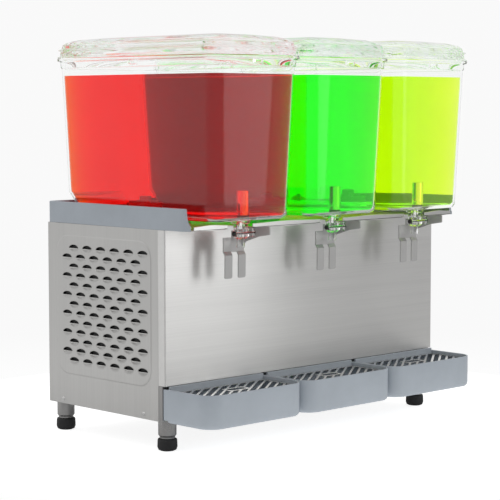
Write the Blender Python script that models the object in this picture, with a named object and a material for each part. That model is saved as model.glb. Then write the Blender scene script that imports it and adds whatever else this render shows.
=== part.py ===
"""Countertop drinks dispenser: three clear bowls with lids on a refrigerated steel base, each with a
push lever tap and a drip tray. Metres, +Z up, front towards -Y, origin on the floor below the centre."""

import math

import bmesh
import bpy
from mathutils import Matrix, Vector

GAP = 0.0003                 # between pieces that touch
SHEET = 0.0012               # steel panels

# Casing
BODY_WIDTH = 0.622
BODY_FRONT = -0.095
BODY_BACK = 0.188
BODY_BOTTOM = 0.047
BODY_TOP = 0.338
PANEL_BOTTOM = 0.102         # lower edge of the front panel
LOWER_RECESS = 0.006         # how far the base's front stands behind the front panel
CORNER_RETURN = 0.015        # how far the front panel wraps round each side
PAN_EDGE = 0.015
HALF_BODY = BODY_WIDTH / 2
INSIDE_X = HALF_BODY - SHEET - GAP

# Side louvres
LOUVRE_ROWS = 13
LOUVRE_COLUMNS = 6
LOUVRE_RISE = 0.015
LOUVRE_PITCH = 0.0334
LOUVRE_FIRST_Y = -0.045
LOUVRE_FIRST_Z = 0.119
LOUVRE_WIDTH = 0.020
LOUVRE_HEIGHT = 0.005

# Legs
LEG_X = HALF_BODY - 0.0207
LEG_YS = {"front": BODY_FRONT + 0.0187, "rear": BODY_FRONT + 0.2673}
LEG_RADIUS = 0.014
FOOT_RADIUS = 0.0155
FOOT_HEIGHT = 0.0185

# Deck and its plastic surround
DECK_TOP = 0.340
DECK_SHEET = 0.0014
DECK_FRONT = -0.1465
DECK_LIP_TOP = 0.3465
DECK_NOTCH_HALF = 0.0265
DECK_NOTCH_BACK = BODY_FRONT - 0.006
SURROUND_TOP = 0.372
SURROUND_WALL = 0.005
SURROUND_CORNER = 0.025
SURROUND_TURN = math.radians(45)
SURROUND_TOP_FRONT = -0.1435

# Bowls and lids
BOWL_PITCH = 0.203
BOWL_XS = {"left": -BOWL_PITCH, "centre": 0.0, "right": BOWL_PITCH}
BOWL_BOTTOM = 0.352
BOWL_TOP = 0.5995
BOWL_WALL = 0.003
BOWL_HALF_X = 0.0823         # at the bottom
BOWL_HALF_Y = 0.1784
BOWL_DRAFT = 0.008 / 0.220   # growth of each half width with height
BOWL_CORNER = 0.024
BOWL_FILLET = 0.008
BOWL_REAR_CHAMFER = 0.034    # slope at the rear of the floor
BOWL_RIM_HALF_X = 0.098
BOWL_RIM_HALF_Y = 0.193
BOWL_RIM_DEPTH = 0.003
LID_BOTTOM = 0.600
LID_TOP = 0.632
LID_HALF_X = 0.0990
LID_HALF_Y = 0.1944
LID_WALL = 0.0024

# Cooling dome, gasket, agitator and its motor
DOME_Y = 0.055
DOME_RADIUS = 0.050
DOME_TOP = 0.364
DOME_FLANGE_RADIUS = 0.060
BOWL_HOLE_RADIUS = 0.0538
SPINDLE_RADIUS = 0.003
AGITATOR_RING = 0.030
AGITATOR_TOP = 0.382
DECK_HOLE_RADIUS = 0.028
MOTOR_RADIUS = 0.032
MOTOR_BOTTOM = 0.272

# Tap: valve body, piston, lever and pin
TAP_Y = -0.147
NOZZLE_BOTTOM = 0.310
NOZZLE_RADIUS = 0.0065
TAP_RADIUS = 0.011
TAP_BORE = 0.0048
OUTLET_RADIUS = 0.0055
STEM_RADIUS = 0.003
STEM_BOTTOM = 0.3352
PISTON_RADIUS = 0.0105
PISTON_TOP = 0.397
SEAL_BOTTOM = BOWL_BOTTOM + BOWL_WALL + GAP
SEAL_TOP = SEAL_BOTTOM + 0.0025
PIVOT_Y = -0.157
PIVOT_Z = 0.332
BLOCK_HALF_X = 0.0155
PIN_RADIUS = 0.0015
PIN_HOLE = 0.0019
LEVER_SHEET = 0.002
LEVER_HALF = 0.0215
LEVER_PLATE_Y = -0.130       # rear face of the plate
PRONG_WIDTH = 0.015
PRONG_BOTTOM = 0.262

# Drip trays and grids
TRAY_PITCH = BODY_WIDTH / 3
TRAY_HALF_X = 0.1025
TRAY_FRONT = -0.193
TRAY_BACK = -0.098
TRAY_BOTTOM = 0.046
TRAY_TOP = 0.098
TRAY_STRIP_TOP = 0.102
TRAY_CORNER = 0.028
TRAY_WALL = 0.003
TRAY_LEDGE = 0.0905
GRID_SHEET = 0.0016
GRID_TOP = 0.0930
GRID_BORDER = 0.007
SLOT_PITCH = 0.0117
SLOT_WIDTH = 0.008
SLOT_ANGLE = math.radians(37.3)
FINGER_HALF_X = 0.017
FINGER_HALF_Y = 0.007
FINGER_Y = -0.142
HOOK_SLOPE = math.tan(math.radians(30))
RAIL_TOP = 0.084
RAIL_FRONT = BODY_FRONT

# Power inlet, on the rear panel
INLET_X = 0.245
INLET_Z = 0.105
MODULE_HALF_X = 0.015
SOCKET_HALF_X = 0.010
SOCKET_HALF_Z = 0.0085
FIN_SHARE = 0.55
FIN_DEPTH = 0.022
COMPRESSOR_STRETCH = 1.15
MODULE_HALF_Z = 0.030
ROCKER_Z = INLET_Z + 0.0175
ROCKER_HALF_X = 0.0085
ROCKER_HALF_Z = 0.0070
ROCKER_TILT = math.radians(7)

# Refrigeration parts on the base pan
PAN_TOP = BODY_BOTTOM + SHEET + GAP
COMPRESSOR_PLACE = (-0.205, 0.070)
CONDENSER_X = (0.262, 0.296)
FAN_X = 0.243
FAN_Y = 0.055
FAN_Z = 0.145
FAN_RADIUS = 0.075
FAN_BLADES = 5

FINISHES = {
    "steel": ((0.60, 0.60, 0.59), 0.35, 1.0),
    "bright_steel": ((0.75, 0.75, 0.75), 0.15, 1.0),
    "grey_plastic": ((0.33, 0.38, 0.43), 0.45, 0.0),
    "clear_plastic": ((0.95, 0.97, 0.97), 0.05, 0.0),
    "rubber": ((0.02, 0.02, 0.02), 0.7, 0.0),
    "black_plastic": ((0.03, 0.03, 0.03), 0.4, 0.0),
    "black_enamel": ((0.04, 0.04, 0.045), 0.35, 0.3),
    "aluminium": ((0.78, 0.79, 0.80), 0.4, 1.0),
    "white_plastic": ((0.85, 0.85, 0.83), 0.4, 0.0),
    "silicone": ((0.75, 0.75, 0.72), 0.6, 0.0),
}


# ---- Modelling helpers ----

def finish(name):
    """The material of this name, made on first use."""
    made = bpy.data.materials.get(name)
    if made:
        return made
    colour, roughness, metallic = FINISHES[name]
    made = bpy.data.materials.new(name)
    made.use_nodes = True
    shader = made.node_tree.nodes["Principled BSDF"]
    shader.inputs["Base Color"].default_value = (*colour, 1.0)
    shader.inputs["Roughness"].default_value = roughness
    shader.inputs["Metallic"].default_value = metallic
    return made


def add_part(name, shape, finish_name, origin=(0.0, 0.0, 0.0)):
    """A visible object from a bmesh in world coordinates, with its own origin at the point given."""
    bmesh.ops.translate(shape, verts=shape.verts, vec=-Vector(origin))
    mesh = bpy.data.meshes.new(name)
    shape.to_mesh(mesh)
    shape.free()
    mesh.shade_smooth()
    mesh.set_sharp_from_angle(angle=math.radians(30))
    part = bpy.data.objects.new(name, mesh)
    part.location = origin
    part.data.materials.append(finish(finish_name))
    bpy.context.scene.collection.objects.link(part)
    return part


def box(low, high):
    shape = bmesh.new()
    bmesh.ops.create_cube(shape, size=1.0)
    size = Vector(high) - Vector(low)
    middle = (Vector(high) + Vector(low)) / 2
    place = Matrix.Translation(middle) @ Matrix.Diagonal((*size, 1.0))
    bmesh.ops.transform(shape, verts=shape.verts, matrix=place)
    return shape


def loft(rings):
    """A closed body through rings of equally many points, with its first and last rings filled."""
    shape = bmesh.new()
    loops = [[shape.verts.new(point) for point in level] for level in rings]
    count = len(loops[0])
    for lower, upper in zip(loops, loops[1:]):
        for i in range(count):
            j = (i + 1) % count
            shape.faces.new((lower[i], lower[j], upper[j], upper[i]))
    shape.faces.new(loops[0][::-1])
    shape.faces.new(loops[-1])
    bmesh.ops.recalc_face_normals(shape, faces=shape.faces)
    return shape


def prism(outline, low, high, axis="Z"):
    """An outline pushed along an axis. Its points are (x, y) along Z, (y, z) along X and (x, z) along Y."""
    place = {
        "Z": lambda a, b, depth: (a, b, depth),
        "X": lambda a, b, depth: (depth, a, b),
        "Y": lambda a, b, depth: (a, depth, b),
    }[axis]
    return loft([[place(a, b, depth) for a, b in outline] for depth in (low, high)])


def turned(profile, centre, steps=24, axis="Z", closed=False):
    """A profile of (radius, height) points spun about an axis through the centre."""
    shape = bmesh.new()
    loops = []
    for radius, height in profile:
        count = 1 if radius == 0 else steps
        level = []
        for i in range(count):
            angle = 2 * math.pi * i / steps
            level.append(shape.verts.new((radius * math.cos(angle), radius * math.sin(angle), height)))
        loops.append(level)
    pairs = list(zip(loops, loops[1:]))
    if closed:
        pairs.append((loops[-1], loops[0]))
    for lower, upper in pairs:
        for i in range(steps):
            j = (i + 1) % steps
            if len(lower) == 1:
                shape.faces.new((lower[0], upper[j], upper[i]))
            elif len(upper) == 1:
                shape.faces.new((lower[i], lower[j], upper[0]))
            else:
                shape.faces.new((lower[i], lower[j], upper[j], upper[i]))
    if axis == "X":
        turn = Matrix.Rotation(math.radians(90), 4, "Y")
    else:
        turn = Matrix.Identity(4)
    bmesh.ops.transform(shape, verts=shape.verts, matrix=Matrix.Translation(centre) @ turn)
    bmesh.ops.recalc_face_normals(shape, faces=shape.faces)
    return shape


def together(shapes):
    """Separate shapes in one bmesh, with no join between them."""
    whole = bmesh.new()
    for shape in shapes:
        mesh = bpy.data.meshes.new("piece")
        shape.to_mesh(mesh)
        shape.free()
        whole.from_mesh(mesh)
        bpy.data.meshes.remove(mesh)
    return whole


def combined(first, second, operation):
    """Two closed shapes after a Boolean: UNION, DIFFERENCE or INTERSECT."""
    helpers = []
    for shape in (first, second):
        mesh = bpy.data.meshes.new("helper")
        shape.to_mesh(mesh)
        shape.free()
        helper = bpy.data.objects.new("helper", mesh)
        bpy.context.scene.collection.objects.link(helper)
        helpers.append(helper)
    modifier = helpers[0].modifiers.new("Boolean", "BOOLEAN")
    modifier.operation = operation
    modifier.object = helpers[1]
    bpy.context.view_layer.update()
    evaluated = helpers[0].evaluated_get(bpy.context.evaluated_depsgraph_get())
    result = bmesh.new()
    result.from_mesh(evaluated.to_mesh())
    evaluated.to_mesh_clear()
    for helper in helpers:
        mesh = helper.data
        bpy.data.objects.remove(helper)
        bpy.data.meshes.remove(mesh)
    return result


def joined(*shapes):
    whole = shapes[0]
    for shape in shapes[1:]:
        whole = combined(whole, shape, "UNION")
    return whole


def cut(shape, *cutters):
    for cutter in cutters:
        shape = combined(shape, cutter, "DIFFERENCE")
    return shape


def rounded_rectangle(half_x, low_y, high_y, radius, steps=3):
    """Points anticlockwise round a rectangle with round corners, centred on x = 0."""
    points = []
    corners = (
        (half_x - radius, high_y - radius, 0),
        (-half_x + radius, high_y - radius, 90),
        (-half_x + radius, low_y + radius, 180),
        (half_x - radius, low_y + radius, 270),
    )
    for x, y, start in corners:
        for i in range(steps + 1):
            angle = math.radians(start + 90 * i / steps)
            points.append((x + radius * math.cos(angle), y + radius * math.sin(angle)))
    return points


def ring(outline, z, x=0.0):
    return [(x + a, b, z) for a, b in outline]


# ---- Casing ----

def make_base_pan():
    front = BODY_FRONT + LOWER_RECESS
    back = BODY_BACK - SHEET - GAP
    under_panel = PANEL_BOTTOM - GAP
    skirt_back = BODY_FRONT + CORNER_RETURN - GAP
    pan = joined(
        box((-INSIDE_X, front, BODY_BOTTOM), (INSIDE_X, back, BODY_BOTTOM + PAN_EDGE)),
        box((-HALF_BODY, front, BODY_BOTTOM), (HALF_BODY, skirt_back, under_panel)),
        box((-INSIDE_X, front, BODY_BOTTOM), (INSIDE_X, skirt_back, PANEL_BOTTOM + PAN_EDGE)),
    )
    hollow = box(
        (-INSIDE_X + SHEET, front + SHEET, BODY_BOTTOM + SHEET),
        (INSIDE_X - SHEET, back - SHEET, BODY_TOP),
    )
    rails = []
    for x in (-TRAY_PITCH, 0.0, TRAY_PITCH):
        wall_top = RAIL_TOP - (front - RAIL_FRONT) * HOOK_SLOPE
        section = (
            (RAIL_FRONT, RAIL_TOP - 0.012),
            (front + SHEET / 2, RAIL_TOP - 0.012),
            (front + SHEET / 2, wall_top),
            (front, wall_top),
            (RAIL_FRONT, RAIL_TOP),
        )
        rails.append(prism(section, x - 0.07, x + 0.07, "X"))
    return add_part("base_pan", joined(cut(pan, hollow), *rails), "steel")


def make_front_panel():
    back = BODY_FRONT + CORNER_RETURN
    shell = box((-HALF_BODY, BODY_FRONT, PANEL_BOTTOM), (HALF_BODY, back, BODY_TOP))
    inside = box(
        (-HALF_BODY + SHEET, BODY_FRONT + SHEET, PANEL_BOTTOM + SHEET),
        (HALF_BODY - SHEET, back + 0.01, BODY_TOP + 0.01),
    )
    room_for_pan = box(
        (-HALF_BODY + SHEET, BODY_FRONT + LOWER_RECESS - GAP, PANEL_BOTTOM - 0.01),
        (HALF_BODY - SHEET, back + 0.01, BODY_TOP + 0.01),
    )
    return add_part("front_panel", cut(shell, inside, room_for_pan), "steel")


def make_side_panels():
    front = BODY_FRONT + CORNER_RETURN + GAP
    for name, sign in (("left_side_panel", -1), ("right_side_panel", 1)):
        inner, outer = sorted((sign * (HALF_BODY - SHEET), sign * HALF_BODY))
        panel = box((inner, front, BODY_BOTTOM), (outer, BODY_BACK, BODY_TOP))
        slots = []
        for row in range(LOUVRE_ROWS):
            shift = (row % 2) * LOUVRE_PITCH / 2
            z = LOUVRE_FIRST_Z + row * LOUVRE_RISE
            for column in range(LOUVRE_COLUMNS):
                y = LOUVRE_FIRST_Y + shift + column * LOUVRE_PITCH
                low = (inner - 0.01, y - LOUVRE_WIDTH / 2, z - LOUVRE_HEIGHT / 2)
                high = (outer + 0.01, y + LOUVRE_WIDTH / 2, z + LOUVRE_HEIGHT / 2)
                slots.append(box(low, high))
        add_part(name, cut(panel, together(slots)), "steel")


def make_rear_panel():
    panel = box((-INSIDE_X, BODY_BACK - SHEET, BODY_BOTTOM), (INSIDE_X, BODY_BACK, BODY_TOP))
    slots = []
    for column in range(3):
        for row in range(7):
            x = -0.20 + column * 0.13
            z = 0.13 + row * 0.022
            low = (x - 0.05, BODY_BACK - 0.01, z - 0.004)
            high = (x + 0.05, BODY_BACK + 0.01, z + 0.004)
            slots.append(box(low, high))
    low = (INLET_X - MODULE_HALF_X + 0.0027, BODY_BACK - 0.01, INLET_Z - MODULE_HALF_Z + 0.0027)
    high = (INLET_X + MODULE_HALF_X - 0.0027, BODY_BACK + 0.01, INLET_Z + MODULE_HALF_Z - 0.0027)
    slots.append(box(low, high))
    return add_part("rear_panel", cut(panel, together(slots)), "steel")


def make_deck():
    """Steel deck under the bowls, with a low front lip and a notch for each tap."""
    half = HALF_BODY - SURROUND_WALL - GAP
    corner = SURROUND_CORNER - SURROUND_WALL - GAP
    centre_y = SURROUND_TOP_FRONT + 0.0155
    outline = [(half, BODY_BACK - SURROUND_WALL - GAP), (-half, BODY_BACK - SURROUND_WALL - GAP)]
    for sign in (-1, 1):
        turn = []
        for i in range(4):
            angle = SURROUND_TURN * i / 3
            across = half - corner + corner * math.cos(angle)
            turn.append((sign * across, centre_y - corner * math.sin(angle)))
        end_x = sign * (half - corner + (corner - 0.001) * math.cos(SURROUND_TURN) - 0.001)
        turn.append((end_x, DECK_FRONT))
        outline += turn if sign < 0 else turn[::-1]
    plate = prism(outline, DECK_TOP - DECK_SHEET, DECK_LIP_TOP)
    well = box((-1.0, DECK_FRONT + DECK_SHEET, DECK_TOP), (1.0, 1.0, DECK_LIP_TOP + 0.01))
    deck = cut(plate, well)
    for x in BOWL_XS.values():
        notch = box((x - DECK_NOTCH_HALF, -1.0, 0.0), (x + DECK_NOTCH_HALF, DECK_NOTCH_BACK, 1.0))
        hole = turned(((0, 0.3), (DECK_HOLE_RADIUS, 0.3), (DECK_HOLE_RADIUS, 0.4), (0, 0.4)), (x, DOME_Y, 0))
        deck = cut(deck, notch, hole)
    return add_part("top_deck", deck, "steel")


def surround_side(sign, offset):
    """Plan points of one side wall from the rear to its turned-in front end."""
    half = HALF_BODY - offset
    radius = SURROUND_CORNER - offset
    centre_x = HALF_BODY - SURROUND_CORNER
    centre_y = SURROUND_TOP_FRONT + 0.0155
    points = [(sign * half, BODY_BACK - offset)]
    for i in range(5):
        angle = SURROUND_TURN * i / 4
        points.append((sign * (centre_x + radius * math.cos(angle)), centre_y - radius * math.sin(angle)))
    return points


def make_deck_surround():
    """Plastic wall round three sides of the deck. Its front ends turn inwards and hollow out upwards."""
    outer = surround_side(1, 0.0)[::-1] + surround_side(-1, 0.0)
    inner = surround_side(-1, SURROUND_WALL)[::-1] + surround_side(1, SURROUND_WALL)
    wall = prism(outer + inner, BODY_TOP + GAP, SURROUND_TOP)
    curve = [(-1.0, SURROUND_TOP + 0.01), (SURROUND_TOP_FRONT, SURROUND_TOP + 0.01)]
    for i in range(7):
        angle = math.radians(90 * i / 6)
        y = SURROUND_TOP_FRONT - 0.012 * (1 - math.cos(angle))
        z = SURROUND_TOP - 0.028 * math.sin(angle)
        curve.append((y, z))
    curve.append((-1.0, SURROUND_TOP - 0.028))
    return add_part("deck_surround", cut(wall, prism(curve, -1.0, 1.0, "X")), "grey_plastic")


def make_legs():
    for end, y in LEG_YS.items():
        for side, x in (("left", -LEG_X), ("right", LEG_X)):
            leg_bottom = FOOT_HEIGHT + GAP
            leg = (
                (0, leg_bottom), (LEG_RADIUS - 0.002, leg_bottom), (LEG_RADIUS, leg_bottom + 0.002),
                (LEG_RADIUS, BODY_BOTTOM - GAP), (0, BODY_BOTTOM - GAP),
            )
            add_part(f"leg_{end}_{side}", turned(leg, (x, y, 0), 16), "steel")
            foot = (
                (0, 0), (FOOT_RADIUS - 0.001, 0), (FOOT_RADIUS, 0.002),
                (LEG_RADIUS, FOOT_HEIGHT), (0, FOOT_HEIGHT),
            )
            add_part(f"foot_{end}_{side}", turned(foot, (x, y, 0), 16), "rubber")


# ---- Bowls ----

def bowl_outline(z, inset=0.0):
    """Plan outline of the bowl's wall at a height, moved in by the inset."""
    grown = BOWL_DRAFT * (z - BOWL_BOTTOM)
    half_x = BOWL_HALF_X + grown - inset
    half_y = BOWL_HALF_Y + grown - inset
    slope = max(0.0, BOWL_BOTTOM + BOWL_REAR_CHAMFER - z)
    return rounded_rectangle(half_x, -half_y, half_y - slope, BOWL_CORNER - inset)


def make_bowl(side, x):
    chamfer_top = BOWL_BOTTOM + BOWL_REAR_CHAMFER
    fillet_middle = BOWL_FILLET * (1 - math.sqrt(0.5))
    rings = [
        ring(bowl_outline(BOWL_BOTTOM, BOWL_FILLET), BOWL_BOTTOM, x),
        ring(bowl_outline(BOWL_BOTTOM + fillet_middle, fillet_middle), BOWL_BOTTOM + fillet_middle, x),
        ring(bowl_outline(BOWL_BOTTOM + BOWL_FILLET), BOWL_BOTTOM + BOWL_FILLET, x),
        ring(bowl_outline(chamfer_top), chamfer_top, x),
        ring(bowl_outline(BOWL_TOP - BOWL_RIM_DEPTH), BOWL_TOP - BOWL_RIM_DEPTH, x),
    ]
    rim = rounded_rectangle(BOWL_RIM_HALF_X, -BOWL_RIM_HALF_Y, BOWL_RIM_HALF_Y, BOWL_CORNER + 0.006)
    rings.append(ring(rim, BOWL_TOP - BOWL_RIM_DEPTH, x))
    rings.append(ring(rim, BOWL_TOP, x))
    floor = BOWL_BOTTOM + BOWL_WALL
    inner_heights = (
        (BOWL_TOP, BOWL_WALL), (chamfer_top + BOWL_WALL, BOWL_WALL),
        (floor + BOWL_FILLET, BOWL_WALL), (floor + fillet_middle, BOWL_WALL + fillet_middle),
        (floor, BOWL_WALL + BOWL_FILLET),
    )
    for z, inset in inner_heights:
        rings.append(ring(bowl_outline(z, inset), z, x))
    shell = loft(rings)
    big = turned(((0, 0.3), (BOWL_HOLE_RADIUS, 0.3), (BOWL_HOLE_RADIUS, 0.4), (0, 0.4)), (x, DOME_Y, 0), 20)
    small = turned(((0, 0.3), (OUTLET_RADIUS, 0.3), (OUTLET_RADIUS, 0.4), (0, 0.4)), (x, TAP_Y, 0), 12)
    return add_part(f"bowl_{side}", cut(shell, big, small), "clear_plastic", (x, 0, BOWL_BOTTOM))


def make_lid(side, x):
    """Raised lid: a flat edge, a round shoulder and a gently domed top, hollow below."""
    steps = (  # inset from the edge, height above the edge's underside
        (0.0, 0.0), (0.0, 0.0024), (0.0055, 0.0030), (0.0065, 0.0130), (0.0085, 0.0200),
        (0.0150, 0.0245), (0.0300, 0.0285), (0.0600, LID_TOP - LID_BOTTOM),
    )
    outer = []
    for inset, height in steps:
        outline = rounded_rectangle(
            LID_HALF_X - inset, -LID_HALF_Y + inset, LID_HALF_Y - inset, max(0.030 - inset / 2, 0.012))
        outer.append(ring(outline, LID_BOTTOM + height, x))
    inner = []
    for inset, height in steps[:3:-1]:
        inset += LID_WALL
        outline = rounded_rectangle(
            LID_HALF_X - inset, -LID_HALF_Y + inset, LID_HALF_Y - inset, max(0.030 - inset / 2, 0.012))
        inner.append(ring(outline, LID_BOTTOM + height - LID_WALL, x))
    foot = rounded_rectangle(LID_HALF_X - 0.0089, -LID_HALF_Y + 0.0089, LID_HALF_Y - 0.0089, 0.0255)
    inner.append(ring(foot, LID_BOTTOM, x))
    return add_part(f"lid_{side}", loft(inner + outer), "clear_plastic", (x, 0, LID_BOTTOM))


def make_cooling(side, x):
    centre = (x, DOME_Y, 0)
    flange_bottom = DECK_TOP + GAP
    flange_top = flange_bottom + 0.003
    dome = (
        (0, DOME_TOP + 0.011), (SPINDLE_RADIUS, DOME_TOP + 0.011), (SPINDLE_RADIUS, DOME_TOP),
        (DOME_RADIUS - 0.006, DOME_TOP), (DOME_RADIUS, DOME_TOP - 0.005), (DOME_RADIUS, flange_top),
        (DOME_FLANGE_RADIUS, flange_top), (DOME_FLANGE_RADIUS, flange_bottom),
        (DOME_RADIUS - 0.0015, flange_bottom), (DOME_RADIUS - 0.0015, DOME_TOP - 0.0056),
        (DOME_RADIUS - 0.0066, DOME_TOP - 0.0015), (0, DOME_TOP - 0.0015),
    )
    add_part(f"cooling_dome_{side}", turned(dome, centre, 20), "bright_steel")
    low = flange_top + GAP
    high = BOWL_BOTTOM - GAP
    lip = BOWL_HOLE_RADIUS - GAP
    gasket = (
        (DOME_RADIUS + GAP, low), (DOME_FLANGE_RADIUS, low), (DOME_FLANGE_RADIUS, high),
        (lip, high), (lip, BOWL_BOTTOM + BOWL_WALL), (DOME_RADIUS + GAP, BOWL_BOTTOM + BOWL_WALL),
    )
    add_part(f"bowl_gasket_{side}", turned(gasket, centre, 20, closed=True), "silicone")


def make_agitator(side, x):
    """Paddle ring on three arms round a capped hub."""
    centre = (x, DOME_Y, 0)
    low = DOME_TOP + 2 * GAP
    bore = SPINDLE_RADIUS + GAP
    hub = turned((
        (0, AGITATOR_TOP), (0.009, AGITATOR_TOP), (0.0105, AGITATOR_TOP - 0.0015), (0.0105, low),
        (bore, low), (bore, DOME_TOP + 0.012), (0, DOME_TOP + 0.012),
    ), centre, 14)
    hoop = turned((
        (AGITATOR_RING - 0.004, low), (AGITATOR_RING, low),
        (AGITATOR_RING, low + 0.007), (AGITATOR_RING - 0.004, low + 0.007),
    ), centre, 20, closed=True)
    whole = joined(hub, hoop)
    for i in range(3):
        arm = box((0.008, -0.0015, low + 0.0005), (AGITATOR_RING - 0.001, 0.0015, low + 0.010))
        turn = Matrix.Rotation(2 * math.pi * i / 3, 4, "Z")
        bmesh.ops.transform(arm, verts=arm.verts, matrix=Matrix.Translation(centre) @ turn)
        whole = joined(whole, arm)
    return add_part(f"agitator_{side}", whole, "white_plastic", (x, DOME_Y, DOME_TOP))


def make_agitator_motor(side, x):
    under_deck = DECK_TOP - DECK_SHEET - GAP
    drum = DECK_HOLE_RADIUS - 0.002
    motor = (
        (0, DOME_TOP - 0.004), (drum, DOME_TOP - 0.004), (drum, under_deck), (0.040, under_deck),
        (0.040, under_deck - 0.004), (MOTOR_RADIUS, under_deck - 0.004), (MOTOR_RADIUS, MOTOR_BOTTOM + 0.003),
        (MOTOR_RADIUS - 0.003, MOTOR_BOTTOM), (0, MOTOR_BOTTOM),
    )
    return add_part(f"agitator_motor_{side}", turned(motor, (x, DOME_Y, 0), 16), "black_enamel")


# ---- Taps ----

def make_valve_body(side, x):
    high = BOWL_BOTTOM - GAP
    body = turned((
        (TAP_BORE, NOZZLE_BOTTOM), (NOZZLE_RADIUS, NOZZLE_BOTTOM), (NOZZLE_RADIUS, 0.323),
        (TAP_RADIUS, 0.325), (TAP_RADIUS, 0.346), (0.0145, 0.3465), (0.0145, high), (TAP_BORE, high),
    ), (x, TAP_Y, 0), 16, closed=True)
    block = box(
        (x - BLOCK_HALF_X, PIVOT_Y - 0.004, PIVOT_Z - 0.006),
        (x + BLOCK_HALF_X, PIVOT_Y + 0.0035, PIVOT_Z + 0.007),
    )
    pin = turned(((0, -0.02), (PIN_HOLE, -0.02), (PIN_HOLE, 0.02), (0, 0.02)), (x, PIVOT_Y, PIVOT_Z), 12, "X")
    window = box((x - 0.0042, TAP_Y, PIVOT_Z - 0.0005), (x + 0.0042, TAP_Y + 0.02, 0.3452))
    valve = cut(joined(body, block), pin, window)
    return add_part(f"valve_body_{side}", valve, "clear_plastic", (x, TAP_Y, PIVOT_Z))


def make_piston(side, x):
    low = SEAL_TOP + GAP
    piston = (
        (0, PISTON_TOP), (PISTON_RADIUS - 0.001, PISTON_TOP), (PISTON_RADIUS, PISTON_TOP - 0.001),
        (PISTON_RADIUS, low), (STEM_RADIUS, low), (STEM_RADIUS, STEM_BOTTOM), (0, STEM_BOTTOM),
    )
    add_part(f"piston_{side}", turned(piston, (x, TAP_Y, 0), 16), "bright_steel", (x, TAP_Y, STEM_BOTTOM))
    seal = (
        (STEM_RADIUS + GAP, SEAL_BOTTOM), (0.0095, SEAL_BOTTOM), (0.0100, SEAL_BOTTOM + 0.00125),
        (0.0095, SEAL_TOP), (STEM_RADIUS + GAP, SEAL_TOP),
    )
    shape = turned(seal, (x, TAP_Y, 0), 16, closed=True)
    add_part(f"piston_seal_{side}", shape, "rubber", (x, TAP_Y, SEAL_BOTTOM))


def make_lever(side, x):
    """Bent sheet: a plate behind the tap, two ears on the pin, one drawn out as a thumb tab, a tongue
    under the piston and two joggled prongs that a cup pushes back."""
    back = LEVER_PLATE_Y
    front = back - LEVER_SHEET
    plate = box((x - LEVER_HALF, front, 0.302), (x + LEVER_HALF, back, 0.3245))
    neck = box((x - 0.0035, front, 0.3235), (x + 0.0035, back, 0.3345))
    tongue = box((x - 0.0035, TAP_Y - 0.001, 0.3327), (x + 0.0035, back, 0.3347))
    short_ear = (
        (back, 0.312), (back, 0.3240), (-0.142, 0.3395), (PIVOT_Y - 0.006, 0.3395),
        (PIVOT_Y - 0.0085, 0.335), (PIVOT_Y - 0.006, 0.3265), (front - 0.004, 0.316), (front, 0.312),
    )
    long_ear = (
        (back, 0.312), (back, 0.3240), (-0.142, 0.3400), (-0.1875, 0.3425), (-0.1895, 0.3405),
        (-0.1895, 0.3320), (-0.1875, 0.3300), (-0.166, 0.3262), (front - 0.006, 0.3175), (front, 0.312),
    )
    left_ear = prism(short_ear, x - LEVER_HALF, x - LEVER_HALF + LEVER_SHEET, "X")
    right_ear = prism(long_ear, x + LEVER_HALF - LEVER_SHEET, x + LEVER_HALF, "X")
    prong = (
        (back, 0.303), (front, 0.303), (front - 0.004, 0.2975), (front - 0.0035, PRONG_BOTTOM + 0.003),
        (front - 0.0028, PRONG_BOTTOM), (back - 0.0030, PRONG_BOTTOM), (back - 0.0036, PRONG_BOTTOM + 0.003),
        (back - 0.004, 0.297),
    )
    lever = joined(
        plate, neck, tongue, left_ear, right_ear,
        prism(prong, x - LEVER_HALF, x - LEVER_HALF + PRONG_WIDTH, "X"),
        prism(prong, x + LEVER_HALF - PRONG_WIDTH, x + LEVER_HALF, "X"),
    )
    bore = ((0, -0.03), (PIN_HOLE, -0.03), (PIN_HOLE, 0.03), (0, 0.03))
    hole = turned(bore, (x, PIVOT_Y, PIVOT_Z), 12, "X")
    return add_part(f"lever_{side}", cut(lever, hole), "steel", (x, PIVOT_Y, PIVOT_Z))


def make_pivot_pin(side, x):
    head = LEVER_HALF + GAP
    pin = (
        (0, -head - 0.004), (0.003, -head - 0.004), (0.0038, -head - 0.003), (0.0038, -head),
        (PIN_RADIUS, -head), (PIN_RADIUS, head + 0.001), (0, head + 0.001),
    )
    shape = turned(pin, (x, PIVOT_Y, PIVOT_Z), 12, "X")
    return add_part(f"pivot_pin_{side}", shape, "black_plastic", (x, PIVOT_Y, PIVOT_Z))


# ---- Drip trays ----

def tray_outline(inset, radius=None):
    """Plan outline: square rear corners, round front ones."""
    half = TRAY_HALF_X - inset
    front = TRAY_FRONT + inset
    back = TRAY_BACK - inset
    radius = TRAY_CORNER - inset if radius is None else radius
    points = [(half, back), (-half, back)]
    for sign, start in ((-1, 180), (1, 270)):
        for i in range(6):
            angle = math.radians(start + 90 * i / 5)
            x = sign * (half - radius) + radius * math.cos(angle)
            points.append((x, front + radius + radius * math.sin(angle)))
    return points


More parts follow.
